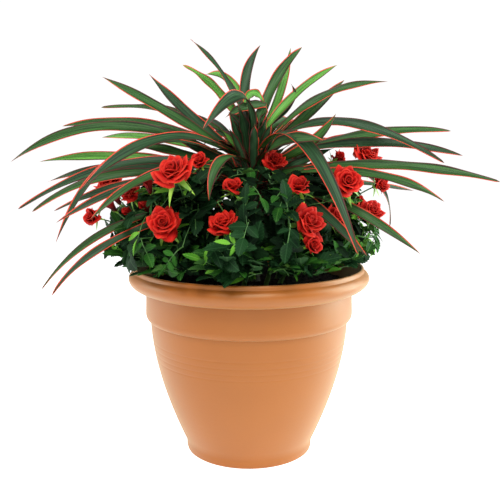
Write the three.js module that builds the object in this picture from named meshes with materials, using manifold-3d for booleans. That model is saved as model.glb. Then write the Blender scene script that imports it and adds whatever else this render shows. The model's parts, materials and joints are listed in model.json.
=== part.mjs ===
// An artificial rose bush round a strap-leaved plant, standing together in a bell-shaped pot.
// Millimetres, +Z up. The origin is the centre of the pot's flat underside and -Y is the front.

import * as THREE from "three";
import { mergeVertices } from "three/addons/utils/BufferGeometryUtils.js";
import Module from "manifold-3d";

const wasm = await Module();
wasm.setup();

const degree = Math.PI / 180;
const gap = 0.3; // clearance wherever two pieces meet

// Pot: a turned shell with a flat underside, a plain band and a rolled rim.
const pot = {
  segments: 32,
  footRadius: 88,
  footHeight: 12,
  bellRadius: 136, // under the band
  bellTop: 186,
  bellFullness: 1.7,
  bellSteps: 6,
  wallSteps: 3,
  bandRadius: 142.5,
  bandTop: 227,
  rimRadius: 167,
  rimHeight: 242,
  beadRadius: 155.5,
  height: 258,
  wall: 3,
  floor: 4,
};

const soil = { top: 235, segments: 20 };

// Strap-leaved plant: one stem a little right of the pot's middle, with leaves all round it.
const stem = { x: 6, y: 0, footRadius: 10, topRadius: 8, top: 408, sides: 12 };
const crownHub = { height: 44, radius: 7, tipRadius: 4, sides: 8 };
const strap = {
  width: 15,
  steps: 7,
  rootShare: 0.28, // width at the root, as a share of the full width
  rootEnd: 0.3, // where the full width is reached
  taperStart: 0.55,
  taperPower: 2,
  fold: 0.16, // height of the two edges over the midrib, as a share of the width
  thickness: 0.0104, // share of the leaf's length
  tipSize: 0.14,
  point: 6, // length of the tip past the last section
  frontRoll: 45, // turn of the blades at the sides, which brings their near edge down
};

// Rose bush: canes out of the soil, each carrying one mass of leaves and blooms.
const massEdges = [155, 200, 246, 279, 320, 363, 413, 463, 515]; // headings between the masses
const cane = { foot: 42, tip: 60, top: 266, footRadius: 3.4, tipRadius: 2.7, sides: 8 };
const massStem = { reach: 108, height: 312, footRadius: 2.7, tipRadius: 1.9, sides: 5 };
const dome = { radius: 186, base: 302, rise: 106, lowest: 263, rimClear: 268, rimReach: 145 };
const twig = {
  radius: 1.5,
  tipRadius: 1.1,
  // slope of each row's place on the dome, its share of the dome's radius, where on the mass's
  // stem its twigs start, and the degrees between two twigs
  rows: [
    { rise: -17, share: 0.56, start: 0.15, spacing: 26 },
    { rise: -15, share: 0.86, start: 0.3, spacing: 18 },
    { rise: 1, share: 1, start: 0.5, spacing: 16 },
    { rise: 22, share: 1, start: 0.7, spacing: 18 },
    { rise: 46, share: 1, start: 0.95, spacing: 20 },
  ],
  jitter: 4,
  end: 0.88, // where a twig bends over into its leaf, as a share of the way to the dome
  tries: 16,
};
const leaf = {
  length: 44,
  width: 28,
  thickness: 3,
  sunk: 4, // how far a side leaf starts inside its twig
  middle: 0.45, // where a leaf is broadest, as a share of its length
  stand: 0.3, // how far a leaf stands off the dome's skin
  lift: 0.4, // how far leaves turn their face up
  // where the side leaves stand along a twig, and how far they turn from hanging down
  sides: [
    { share: 0.92, turn: -95 },
    { share: 0.8, turn: 85 },
  ],
  swing: 30,
  swingGain: 0.3, // how much further each new try may turn
  tries: 8,
  apart: 20, // least distance between the middles of two leaves
};
const keepOut = { spacing: 6, margin: 2 }; // balls along the strap leaves
const seed = 4117;

const colour = {
  pot: 0xc6784a,
  soil: 0x2b211b,
  strap: 0x37502f,
  stem: 0x4a5a34,
  cane: 0x3f6a2c,
  rose: 0x2f5a33,
};

// Headings are degrees from +X seen from above; root and tip are heights; reach is the tip's
// distance from the stem; launch is the slope at the root; bend moves the curve's middle out
// along it; sweep swings that middle sideways and roll turns the blade about its length.
const strapLeaves = [
  { heading: 188, root: 402, reach: 135, tip: 510, launch: 32, bend: 0.44 },
  { heading: 196, root: 397, reach: 194, tip: 504, launch: 33, bend: 0.5 },
  { heading: 160, root: 405, reach: 231, tip: 477, launch: 53, bend: 0.41, roll: 40 },
  { heading: 172, root: 395, reach: 266, tip: 449, launch: 33, bend: 0.54 },
  { heading: 182, root: 387, reach: 323, tip: 401, launch: 32, bend: 0.66, width: 16 },
  { heading: 150, root: 388, reach: 265, tip: 435, launch: 24, bend: 0.53 },
  { heading: 178, root: 370, reach: 289, tip: 400, launch: 20, bend: 0.54 },
  { heading: 222, root: 399, reach: 257, tip: 374, launch: 29, bend: 0.61, width: 17 },
  { heading: 166, root: 363, reach: 308, tip: 370, launch: 19, bend: 0.56 },
  { heading: 204, root: 374, reach: 167, tip: 420, launch: 25, bend: 0.62 },
  { heading: 188, root: 380, reach: 307, tip: 341, launch: 21, bend: 0.53 },
  { heading: 194, root: 354, reach: 286, tip: 340, launch: 23, bend: 0.64 },
  { heading: 203, root: 363, reach: 261, tip: 343, launch: 15, bend: 0.56 },
  { heading: 208, root: 392, reach: 267, tip: 308, launch: 28, bend: 0.76, width: 10 },
  { heading: 212, root: 371, reach: 268, tip: 333, launch: 13, bend: 0.55 },
  { heading: 220, root: 380, reach: 241, tip: 339, launch: 16, bend: 0.62 },
  { heading: 199, root: 334, reach: 280, tip: 244, launch: 8, bend: 0.65 },
  { heading: 216, root: 346, reach: 284, tip: 253, launch: -4, bend: 0.75, width: 12 },
  { heading: 18, root: 398, reach: 130, tip: 509, launch: 44, bend: 0.52 },
  { heading: 8, root: 404, reach: 182, tip: 508, launch: 58, bend: 0.58, width: 12 },
  { heading: 235, root: 403, reach: 104, tip: 444, launch: 86, bend: 1.3, width: 19, sweep: 20, roll: -45 },
  { heading: 15, root: 390, reach: 294, tip: 443, launch: 23, bend: 0.54 },
  { heading: 345, root: 403, reach: 246, tip: 401, launch: 50, bend: 0.53 },
  { heading: 348, root: 394, reach: 268, tip: 409, launch: 22, bend: 0.52 },
  { heading: 339, root: 385, reach: 312, tip: 378, launch: 11, bend: 0.58, width: 16 },
  { heading: 328, root: 377, reach: 258, tip: 357, launch: 13, bend: 0.68 },
  { heading: 20, root: 381, reach: 140, tip: 438, launch: 25, bend: 0.54, width: 12 },
  { heading: 326, root: 391, reach: 121, tip: 456, launch: 13, bend: 0.63, width: 13 },
  { heading: 314, root: 397, reach: 114, tip: 426, launch: 42, bend: 0.57 },
  { heading: 298, root: 404, reach: 236, tip: 307, launch: 41, bend: 0.58, width: 17 },
  { heading: 312, root: 371, reach: 199, tip: 296, launch: 6, bend: 0.37 },
  { heading: 332, root: 364, reach: 228, tip: 291, launch: 8, bend: 0.43, width: 14 },
  { heading: 3, root: 378, reach: 190, tip: 314, launch: 14, bend: 0.99, width: 7 },
  { heading: 26, root: 370, reach: 272, tip: 354, launch: 4, bend: 0.49, width: 10 },
  { heading: 244, root: 396, reach: 123, tip: 359, launch: 17, bend: 0.91, width: 13 },
];

const crownLeaves = [
  { heading: 165, root: 14, reach: 86, tip: 562, launch: 78, bend: 0.52, width: 13, roll: -22 },
  { heading: 148, root: 12, reach: 114, tip: 533, launch: 63, bend: 0.57, roll: -35, width: 14 },
  { heading: 132, root: 10, reach: 102, tip: 523, launch: 80, bend: 0.78, width: 13 },
  { heading: 80, root: 20, reach: 42, tip: 556, launch: 84, bend: 0.6, width: 14, sweep: 30 },
  { heading: 40, root: 14, reach: 86, tip: 556, launch: 78, bend: 0.57 },
  { heading: 62, root: 8, reach: 116, tip: 560, launch: 38, bend: 0.62, width: 12 },
  { heading: 28, root: 8, reach: 131, tip: 533, launch: 61, bend: 0.48, roll: 45, width: 13 },
  { heading: 30, root: 24, reach: 62, tip: 503, launch: 19, bend: 1.18, width: 7 },
  { heading: 180, root: 22, reach: -16, tip: 474, launch: 35, bend: 1.7, width: 14, roll: -70 },
  { heading: 190, root: 12, reach: 32, tip: 464, launch: 74, bend: 0.5, width: 15 },
  { heading: 308, root: 10, reach: 28, tip: 476, launch: 84, bend: 0.55, width: 14 },
  { heading: 262, root: 24, reach: 16, tip: 472, launch: 84, bend: 0.5, width: 13 },
  { heading: 110, root: 6, reach: 36, tip: 492, launch: 80, bend: 0.5, width: 16 },
];

// Fans fill the far side: leaves of one fan spring one under another from a small sheath.
const fanHeadings = [56, 90, 124];
const fan = {
  side: [0, -10, 10, -2],
  root: 388,
  rootDrop: 18,
  reach: 165,
  reachGain: 30,
  tip: 458,
  tipDrop: 34,
  launch: 50,
  launchDrop: 9,
  bend: 0.62,
  sheathRadius: 4,
  sheathSides: 6,
};

// Blooms: heading and distance from the pot's middle, height and diameter.
const blooms = [
  { heading: 177, distance: 196, height: 369, size: 46 },
  { heading: 190, distance: 158, height: 361, size: 30 },
  { heading: 191, distance: 210, height: 328, size: 26 },
  { heading: 193, distance: 184, height: 342, size: 13 },
  { heading: 236, distance: 160, height: 391, size: 50 },
  { heading: 230, distance: 96, height: 402, size: 23 },
  { heading: 231, distance: 162, height: 329, size: 43 },
  { heading: 207, distance: 146, height: 344, size: 17 },
  { heading: 256, distance: 131, height: 329, size: 40 },
  { heading: 259, distance: 102, height: 371, size: 27 },
  { heading: 295, distance: 66, height: 400, size: 33 },
  { heading: 299, distance: 126, height: 372, size: 28 },
  { heading: 301, distance: 140, height: 330, size: 48 },
  { heading: 300, distance: 144, height: 300, size: 22 },
  { heading: 327, distance: 130, height: 332, size: 27 },
  { heading: 335, distance: 143, height: 377, size: 40 },
  { heading: 344, distance: 167, height: 335, size: 34 },
  { heading: 353, distance: 163, height: 406, size: 42 },
  { heading: 358, distance: 178, height: 369, size: 26 },
  { heading: 372, distance: 128, height: 402, size: 30 },
  { heading: 384, distance: 174, height: 336, size: 44 },
  { heading: 402, distance: 148, height: 357, size: 36 },
  { heading: 404, distance: 176, height: 314, size: 28 },
  { heading: 424, distance: 160, height: 340, size: 46 },
  { heading: 438, distance: 152, height: 354, size: 38 },
  { heading: 452, distance: 178, height: 358, size: 30 },
  { heading: 472, distance: 150, height: 352, size: 44 },
  { heading: 484, distance: 176, height: 324, size: 34 },
  { heading: 505, distance: 122, height: 384, size: 30 },
  { heading: 505, distance: 182, height: 352, size: 40 },
];
const bloom = { sides: 8, budSize: 20, ruffle: 0.1, waves: 4, lift: 0.35 };

function finish(shade, roughness) {
  return new THREE.MeshStandardMaterial({ color: shade, roughness, metalness: 0 });
}

function polar(heading, distance, height) {
  const angle = heading * degree;
  return new THREE.Vector3(distance * Math.cos(angle), distance * Math.sin(angle), height);
}

function seededRandom(start) {
  let state = start >>> 0;
  return () => {
    state = (state + 0x6d2b79f5) >>> 0;
    let mixed = Math.imul(state ^ (state >>> 15), state | 1);
    mixed ^= mixed + Math.imul(mixed ^ (mixed >>> 7), mixed | 61);
    return ((mixed ^ (mixed >>> 14)) >>> 0) / 4294967296;
  };
}

// Keeps positions only and joins the vertices that coincide.
function welded(geometry) {
  geometry.deleteAttribute("normal");
  geometry.deleteAttribute("uv");
  return mergeVertices(geometry);
}

function toSolid(geometry) {
  return new wasm.Manifold(
    new wasm.Mesh({
      numProp: 3,
      vertProperties: new Float32Array(geometry.getAttribute("position").array),
      triVerts: new Uint32Array(geometry.getIndex().array),
    }),
  );
}

// Joins solids into the one body that they share; a sealed hollow or loose scrap is left out.
function fuse(geometries) {
  const joined = geometries.map(toSolid).reduce((whole, piece) => whole.add(piece));
  const bodies = joined.decompose().sort((a, b) => b.volume() - a.volume());
  const mesh = bodies[0].getMesh();
  const geometry = new THREE.BufferGeometry();
  geometry.setAttribute("position", new THREE.BufferAttribute(mesh.vertProperties, 3));
  geometry.setIndex(new THREE.BufferAttribute(mesh.triVerts, 1));
  return geometry;
}

function part(name, geometry, material) {
  const mesh = new THREE.Mesh(geometry, material);
  mesh.name = name;
  return mesh;
}

// Moves each vertex of a unit cylinder along +Y to the place that a rule gives it.
function shaped(sides, steps, place) {
  const geometry = welded(new THREE.CylinderGeometry(1, 1, 1, sides, steps));
  const position = geometry.getAttribute("position");
  for (let i = 0; i < position.count; i++) {
    const point = place(position.getX(i), position.getY(i) + 0.5, position.getZ(i));
    position.setXYZ(i, point.x, point.y, point.z);
  }
  return geometry;
}

// A limb with level ends: each section stays flat while the middle moves from foot to tip.
function limb(foot, tip, footRadius, tipRadius, sides) {
  return shaped(sides, 1, (across, share, along) => {
    const radius = THREE.MathUtils.lerp(footRadius, tipRadius, share);
    const middle = foot.clone().lerp(tip, share);
    return middle.add(new THREE.Vector3(along * radius, across * radius, 0));
  });
}

// Sets a geometry that points along +X, with its upper side along +Z, at a place.
function aimed(geometry, origin, direction, upward) {
  const xAxis = direction.clone().normalize();
  const yAxis = new THREE.Vector3().crossVectors(upward, xAxis).normalize();
  const zAxis = new THREE.Vector3().crossVectors(xAxis, yAxis);
  geometry.applyMatrix4(new THREE.Matrix4().makeBasis(xAxis, yAxis, zAxis).setPosition(origin));
  return geometry;
}

// Pot wall radius outside, from the foot to the band.
function bellRadius(height) {
  const share = THREE.MathUtils.clamp((height - pot.footHeight) / (pot.bellTop - pot.footHeight), 0, 1);
  const swell = 1 - Math.pow(1 - share, pot.bellFullness);
  return pot.footRadius + (pot.bellRadius - pot.footRadius) * swell;
}

function bellHeights(steps) {
  const span = pot.bellTop - pot.footHeight;
  return Array.from({ length: steps + 1 }, (_, i) => pot.footHeight + (span * i) / steps);
}

// Rolled rim from the band's upper end, over the widest line and the bead, to the inner wall.
function rimProfile() {
  const roll = new THREE.CubicBezierCurve(
    new THREE.Vector2(pot.bandRadius - 1, pot.bandTop),
    new THREE.Vector2(pot.rimRadius - 4, pot.bandTop + 2),
    new THREE.Vector2(pot.rimRadius + 5, pot.rimHeight + 4),
    new THREE.Vector2(pot.beadRadius + 2.5, pot.rimHeight + 10.5),
  );
  return [
    ...roll.getPoints(5),
    new THREE.Vector2(pot.beadRadius + 2, pot.height - 1),
    new THREE.Vector2(pot.beadRadius, pot.height),
    new THREE.Vector2(pot.beadRadius - 2, pot.height - 1.5),
  ];
}

function makePot() {
  const innerBand = pot.bandRadius - pot.wall;
  const outside = bellHeights(pot.bellSteps).map((height) => new THREE.Vector2(bellRadius(height), height));
  const inside = bellHeights(pot.wallSteps)
    .reverse()
    .map((height) => new THREE.Vector2(bellRadius(height) - pot.wall, height));
  const profile = [
    new THREE.Vector2(0, 0),
    new THREE.Vector2(pot.footRadius - 1.5, 0),
    new THREE.Vector2(pot.footRadius, 1.5),
    ...outside,
    new THREE.Vector2(pot.bandRadius - 1, pot.bellTop + 1),
    new THREE.Vector2(pot.bandRadius, pot.bellTop + 3),
    ...rimProfile(),
    new THREE.Vector2(innerBand + 10, pot.rimHeight - 3),
    new THREE.Vector2(innerBand, pot.bandTop),
    new THREE.Vector2(innerBand - 0.5, pot.bellTop + 4),
    ...inside,
    new THREE.Vector2(bellRadius(pot.floor) - pot.wall, pot.floor),
    new THREE.Vector2(0, pot.floor),
  ];
  const turned = new THREE.LatheGeometry(profile, pot.segments).rotateX(Math.PI / 2);
  return part("pot", welded(turned), finish(colour.pot, 0.5));
}

// Inner wall radius less the clearance, up to the soil's level.
function makeSoil() {
  const inset = pot.wall + gap + 0.3;
  const innerBand = pot.bandRadius - inset;
  const profile = [
    new THREE.Vector2(0, pot.floor + gap),
    new THREE.Vector2(bellRadius(pot.floor) - inset, pot.floor + gap),
    ...bellHeights(pot.wallSteps)
      .slice(0, -1)
      .map((height) => new THREE.Vector2(bellRadius(height) - inset, height)),
    new THREE.Vector2(bellRadius(pot.bellTop) - inset, pot.bellTop + 1),
    new THREE.Vector2(innerBand - 1.2, pot.bellTop + 6),
    new THREE.Vector2(innerBand - 1, soil.top - 3),
    new THREE.Vector2(innerBand - 6, soil.top),
    new THREE.Vector2(0, soil.top),
  ];
  const turned = new THREE.LatheGeometry(profile, soil.segments).rotateX(Math.PI / 2);
  return part("potting_soil", welded(turned), finish(colour.soil, 0.95));
}

function stemRadiusAt(height) {
  const share = (height - soil.top) / (stem.top - soil.top);
  return THREE.MathUtils.lerp(stem.footRadius, stem.topRadius, THREE.MathUtils.clamp(share, 0, 1));
}

function makeStem() {
  const foot = new THREE.Vector3(stem.x, stem.y, soil.top + gap);
  const tip = new THREE.Vector3(stem.x, stem.y, stem.top);
  const geometry = limb(foot, tip, stem.footRadius, stem.topRadius, stem.sides);
  return part("strap_stem", geometry, finish(colour.stem, 0.8));
}

// Centre line of a strap leaf: it leaves the stem at its launch slope and arches to its tip.
function strapPath(setting, startDistance) {
  const { heading, root, reach, tip, launch, bend, sweep = 0 } = setting;
  const axis = new THREE.Vector3(stem.x, stem.y, 0);
  const start = polar(heading, startDistance, root).add(axis);
  const end = polar(heading, reach, tip).add(axis);
  const span = Math.hypot(reach - startDistance, tip - root) * bend;
  const slope = launch * degree;
  const middle = polar(heading, startDistance + span * Math.cos(slope), root + span * Math.sin(slope));
  middle.add(axis).add(polar(heading + 90, sweep, 0));
  return new THREE.QuadraticBezierCurve3(start, middle, end);
}

function strapWidthAt(share, width) {
  const opened = THREE.MathUtils.smoothstep(share, 0, strap.rootEnd);
  const rise = strap.rootShare + (1 - strap.rootShare) * opened;
  const past = Math.max(0, (share - strap.taperStart) / (1 - strap.taperStart));
  return width * rise * (1 - (1 - strap.tipSize) * Math.pow(past, strap.taperPower));
}

// One strap leaf: a shallow gutter in section, narrow at the root and drawn out to a point.
function strapLeaf(setting, path) {
  const { heading, width = strap.width } = setting;
  const { roll = strap.frontRoll * Math.cos(heading * degree) } = setting;
  const thickness = path.getLength() * strap.thickness;
  const level = polar(heading + 90, 1, 0);
  return shaped(4, strap.steps, (across, share, upward) => {
    const tangent = path.getTangent(share);
    const normal = new THREE.Vector3().crossVectors(tangent, level).normalize();
    const turn = roll * degree * Math.min(1, share * 2);
    const sideways = level.clone().multiplyScalar(Math.cos(turn)).addScaledVector(normal, Math.sin(turn));
    const facing = new THREE.Vector3().crossVectors(tangent, sideways).normalize();
    const spread = strapWidthAt(share, width);
    const isPole = across === 0 && upward === 0;
    const lift = (upward * thickness) / 2 + Math.abs(across) * strap.fold * spread;
    return path
      .getPoint(share)
      .addScaledVector(tangent, isPole && share === 1 ? strap.point : 0)
      .addScaledVector(sideways, (-across * spread) / 2)
      .addScaledVector(facing, isPole ? 0 : lift);
  });
}

// Distance from the stem's middle at which a leaf root just clears the stem.
function rootDistance(setting) {
  const length = Math.hypot(setting.reach, setting.tip - setting.root);
  const halfThickness = (length * strap.thickness) / 2;
  return stemRadiusAt(setting.root) + gap + halfThickness * Math.sin(setting.launch * degree) + 0.1;
}

function strapLeafPaths() {
  return strapLeaves.map((setting) => ({ setting, path: strapPath(setting, rootDistance(setting)) }));
}

function crownLeafPaths() {
  return crownLeaves.map((setting) => {
    const raised = { ...setting, root: stem.top + gap + setting.root };
    return { setting: raised, path: strapPath(raised, crownHub.tipRadius - 1) };
  });
}

function fanLeafPaths(fanHeading) {
  return fan.side.map((side, i) => {
    const setting = {
      heading: fanHeading + side,
      root: fan.root - fan.rootDrop * i,
      reach: fan.reach + fan.reachGain * i,
      tip: fan.tip - fan.tipDrop * i,
      launch: fan.launch - fan.launchDrop * i,
      bend: fan.bend,
    };
    return { setting, path: strapPath(setting, stem.footRadius + fan.sheathRadius) };
  });
}

function makeCrown(paths) {
  const base = stem.top + gap;
  const foot = new THREE.Vector3(stem.x, stem.y, base);
  const tip = new THREE.Vector3(stem.x, stem.y, base + crownHub.height);
  const hub = limb(foot, tip, crownHub.radius, crownHub.tipRadius, crownHub.sides);
  const leaves = paths.map(({ setting, path }) => strapLeaf(setting, path));
  return part("crown_tuft", fuse([hub, ...leaves]), finish(colour.strap, 0.45));
}

function makeFan(index, paths) {
  const lowest = fan.root - fan.rootDrop * (fan.side.length - 1) - 8;
  const distance = stem.footRadius + gap + fan.sheathRadius;
  const foot = polar(fanHeadings[index], distance, lowest);
  const tip = polar(fanHeadings[index], distance, fan.root + 6);
  foot.x += stem.x;
  tip.x += stem.x;
  const sheath = limb(foot, tip, fan.sheathRadius, fan.sheathRadius - 1, fan.sheathSides);
  const leaves = paths.map(({ setting, path }) => strapLeaf(setting, path));
  return part(`strap_fan_${index + 1}`, fuse([sheath, ...leaves]), finish(colour.strap, 0.45));
}

function massHeading(index) {
  return (massEdges[index] + massEdges[index + 1]) / 2;
}

function makeCane(index) {
  const heading = massHeading(index);
  const foot = polar(heading, cane.foot, soil.top + gap);
  const tip = polar(heading, cane.tip, cane.top);
  const geometry = limb(foot, tip, cane.footRadius, cane.tipRadius, cane.sides);
  return part(`rose_cane_${index + 1}`, geometry, finish(colour.cane, 0.7));
}

// Balls along every strap leaf, which twigs and rose leaves keep clear of.
function ballsAlong(paths) {
  return paths.flatMap(({ setting, path }) => {
    const count = Math.ceil(path.getLength() / keepOut.spacing);
    return path.getSpacedPoints(count).map((centre, i) => ({
      centre,
      radius: strapWidthAt(i / count, setting.width ?? strap.width) / 2 + keepOut.margin,
    }));
  });
}

// The space of one mass: between two headings, over the soil and clear of the pot's rim.
function massSpace(index) {
  const from = massEdges[index] * degree;
  const to = massEdges[index + 1] * degree;
  return (point) => {
    const pastFirst = point.y * Math.cos(from) - point.x * Math.sin(from);
    const beforeLast = point.x * Math.sin(to) - point.y * Math.cos(to);
    const distance = Math.hypot(point.x, point.y);
    const floor = distance > dome.rimReach ? dome.rimClear : dome.lowest;
    return pastFirst > gap && beforeLast > gap && point.z > floor;
  };
}

function isClear(points, radius, balls) {
  return points.every((point) =>
    balls.every((ball) => point.distanceTo(ball.centre) > ball.radius + radius),
  );
}

function pointsBetween(from, to, spacing) {
  const count = Math.max(2, Math.ceil(from.distanceTo(to) / spacing));
  return Array.from({ length: count + 1 }, (_, i) => from.clone().lerp(to, i / count));
}

function upwardFor(direction) {
  return Math.abs(direction.z) > 0.95 * direction.length()
    ? new THREE.Vector3(1, 0, 0)
    : new THREE.Vector3(0, 0, 1);
}

function twigSolid(from, to, footRadius, tipRadius) {
  const length = from.distanceTo(to);
  const along = to.clone().sub(from);
  const geometry = welded(new THREE.CylinderGeometry(tipRadius, footRadius, length, 3));
  geometry.rotateZ(-Math.PI / 2).translate(length / 2, 0, 0);
  return aimed(geometry, from, along, upwardFor(along));
}

// A twig that bends over at its end and broadens into a leaf.
function leafyTwigSolid(from, to, { direction, facing, size }) {
  const along = to.clone().sub(from).normalize();
  const length = leaf.length * size;
  const halfWidth = (leaf.width * size) / 2;
  const past = (share) => to.clone().addScaledVector(direction, length * share);
  const sections = [
    { at: from, ahead: along, half: twig.radius, deep: twig.radius },
    { at: to, ahead: along, half: twig.tipRadius, deep: twig.tipRadius },
    { at: past(leaf.middle), ahead: direction, half: halfWidth, deep: leaf.thickness * 0.7 },
    { at: past(0.96), ahead: direction, half: 1, deep: 0.8 },
  ];
  return shaped(3, sections.length - 1, (across, share, upward) => {
    const { at, ahead, half, deep } = sections[Math.round(share * (sections.length - 1))];
    const sideways = new THREE.Vector3().crossVectors(ahead, facing).normalize();
    const raised = new THREE.Vector3().crossVectors(sideways, ahead);
    const isTip = share === 1 && across === 0 && upward === 0;
    return (isTip ? past(1) : at.clone())
      .addScaledVector(sideways, (across / Math.cos(Math.PI / 6)) * half)
      .addScaledVector(raised, upward * deep);
  });
}

// A leaflet of eight faces.
function leafSolid(origin, { direction, facing, size }) {
  const geometry = welded(new THREE.OctahedronGeometry(1));
  geometry.scale((leaf.length * size) / 2, (leaf.width * size) / 2, leaf.thickness / 2);
  geometry.translate((leaf.length * size) / 2 - leaf.sunk, 0, 0);
  return aimed(geometry, origin, direction, facing);
}

// An open bloom: a cup of ruffled petals turned on its own axis, or a pointed bud.
function bloomSolid(centre, facing, size) {
  const radius = size / 2;
  if (size < bloom.budSize) {
    const bud = welded(new THREE.OctahedronGeometry(1)).scale(radius * 1.2, radius * 0.7, radius * 0.7);
    return aimed(bud, centre, facing, new THREE.Vector3(1, 0, 0.01));
  }
  const profile = [
    [0, -0.5],
    [0.66, -0.28],
    [1, 0.1],
    [0.55, 0.42],
    [0, 0.3],
  ].map(([across, along]) => new THREE.Vector2(across * radius, along * radius));
  const geometry = welded(new THREE.LatheGeometry(profile, bloom.sides));
  const position = geometry.getAttribute("position");
  for (let i = 0; i < position.count; i++) {
    const angle = Math.atan2(position.getZ(i), position.getX(i));
    const wave = 1 + bloom.ruffle * Math.cos(bloom.waves * angle);
    position.setXYZ(i, position.getX(i) * wave, position.getY(i), position.getZ(i) * wave);
  }
  geometry.rotateZ(-Math.PI / 2);
  return aimed(geometry, centre, facing, new THREE.Vector3(1, 0, 0.01));
}

// Blooms face outwards and a little up.
function bloomFacing(setting) {
  return polar(setting.heading, 1, bloom.lift).normalize();
}

function bloomBalls() {
  return blooms.map((setting) => ({
    centre: polar(setting.heading, setting.distance, setting.height),
    radius: setting.size / 2,
  }));
}

// Twigs grow from the mass's stem to a net of places on the dome, and each carries leaves.
function growTwigs(index, random, stemFoot, stemTip, balls) {
  const taken = [];
  const solids = [];
  const from = massEdges[index];
  const width = massEdges[index + 1] - from;
  for (const row of twig.rows) {
    const columns = Math.round(width / row.spacing);
    for (let column = 0; column < columns; column++) {
      for (let attempt = 0; attempt < twig.tries; attempt++) {
        const heading = from + width * ((column + 0.5) / columns) + twig.jitter * (2 * random() - 1);
        const rise = (row.rise + twig.jitter * (2 * random() - 1)) * degree;
        const distance = dome.radius * row.share * Math.cos(rise);
        const place = polar(heading, distance, dome.base + dome.rise * Math.sin(rise));
        const root = stemFoot.clone().lerp(stemTip, row.start - 0.1 * random());
        const end = root.clone().lerp(place, twig.end);
        const pose = leafPose(random, end, 0, attempt);
        if (!twigFits(index, root, end, balls) || !leafFits(index, end, pose, balls, taken)) continue;
        taken.push({ centre: leafMiddle(end, pose), radius: 0 });
        solids.push(leafyTwigSolid(root, end, pose));
        solids.push(...growLeaves(index, random, root, end, balls, taken));
        break;
      }
    }
  }
  return solids;
}

// A leaf lies along the dome's skin, turned from hanging straight down, with its face outwards.
function leafPose(random, origin, turn, attempt) {
  const facing = new THREE.Vector3(
    origin.x / dome.radius ** 2,
    origin.y / dome.radius ** 2,
    (origin.z - dome.base) / dome.rise ** 2,
  ).normalize();
  facing.z += leaf.lift;
  facing.normalize();
  const across = new THREE.Vector3(-origin.y, origin.x, 0).normalize();
  const down = new THREE.Vector3().crossVectors(facing, across).negate();
  const swing = leaf.swing * (1 + attempt * leaf.swingGain);
  const angle = (turn + swing * (2 * random() - 1)) * degree;
  const direction = down.multiplyScalar(Math.cos(angle)).addScaledVector(across, Math.sin(angle));
  direction.addScaledVector(facing, leaf.stand * (2 * random() - 0.6)).normalize();
  return { direction, facing, size: 0.85 + 0.3 * random() };
}

function leafMiddle(origin, { direction, size }) {
  return origin.clone().addScaledVector(direction, leaf.length * size * leaf.middle);
}

function twigFits(index, root, end, balls) {
  const track = pointsBetween(root, end, 5);
  return track.every(massSpace(index)) && isClear(track.slice(1), twig.radius, balls);
}

function leafFits(index, origin, pose, balls, taken) {
  const { direction, facing, size } = pose;
  const middle = leafMiddle(origin, pose);
  const tip = origin.clone().addScaledVector(direction, leaf.length * size);
  const halfWidth = (leaf.width * size) / 2;
  const sideways = new THREE.Vector3().crossVectors(direction, facing).setLength(halfWidth);
  const edges = [middle.clone().add(sideways), middle.clone().sub(sideways), tip];
  return (
    edges.every(massSpace(index)) &&
    isClear([middle], halfWidth, balls) &&
    isClear([tip], 2, balls) &&
    isClear([middle], leaf.apart, taken)
  );
}

// Side leaves stand one after another along the twig.
function growLeaves(index, random, root, end, balls, taken) {
  const solids = [];
  for (const { share, turn } of leaf.sides) {
    for (let attempt = 0; attempt < leaf.tries; attempt++) {
      const origin = root.clone().lerp(end, share - 0.08 * random());
      const pose = leafPose(random, origin, turn, attempt);
      if (!leafFits(index, origin, pose, balls, taken)) continue;
      taken.push({ centre: leafMiddle(origin, pose), radius: 0 });
      solids.push(leafSolid(origin, pose));
      break;
    }
  }
  return solids;
}

// Each bloom stands on a stalk from the upper end of its mass's stem.
function growBlooms(index, stemFoot, stemTip) {
  const own = blooms.filter(
    ({ heading }) => heading > massEdges[index] && heading < massEdges[index + 1],
  );
  return own.flatMap((setting) => {
    const centre = polar(setting.heading, setting.distance, setting.height);
    const facing = bloomFacing(setting);
    const rise = (setting.height - cane.top) / (dome.base + dome.rise - cane.top);
    const root = stemFoot.clone().lerp(stemTip, THREE.MathUtils.clamp(rise, 0.3, 0.98));
    return [twigSolid(root, centre, twig.radius, twig.tipRadius), bloomSolid(centre, facing, setting.size)];
  });
}

function makeMass(index, balls) {
  const heading = massHeading(index);
  const random = seededRandom(seed + index);
  const foot = polar(heading, cane.tip, cane.top + gap);
  const tip = polar(heading, massStem.reach, massStem.height);
  const ownStem = limb(foot, tip, massStem.footRadius, massStem.tipRadius, massStem.sides);
  const solids = [ownStem, ...growBlooms(index, foot, tip), ...growTwigs(index, random, foot, tip, balls)];
  return part(`rose_mass_${index + 1}`, fuse(solids), finish(colour.rose, 0.6));
}

function makeStrapLeaves(paths) {
  return paths.map(({ setting, path }, i) => {
    const name = `strap_leaf_${String(i + 1).padStart(2, "0")}`;
    return part(name, strapLeaf(setting, path), finish(colour.strap, 0.45));
  });
}

function build() {
  const group = new THREE.Group();
  group.name = "potted_rose_bush";
  const leafPaths = strapLeafPaths();
  const crownPaths = crownLeafPaths();
  const fanPaths = fanHeadings.map(fanLeafPaths);
  const balls = [...ballsAlong([...leafPaths, ...crownPaths, ...fanPaths.flat()]), ...bloomBalls()];
  group.add(makePot(), makeSoil(), makeStem(), makeCrown(crownPaths));
  group.add(...makeStrapLeaves(leafPaths));
  group.add(...fanPaths.map((paths, i) => makeFan(i, paths)));
  for (let i = 0; i < massEdges.length - 1; i++) {
    group.add(makeCane(i), makeMass(i, balls));
  }
  return group;
}

export default build();
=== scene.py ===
import json
import math
from random import Random

import bpy
import numpy as np
from mathutils import Matrix, Vector

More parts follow.
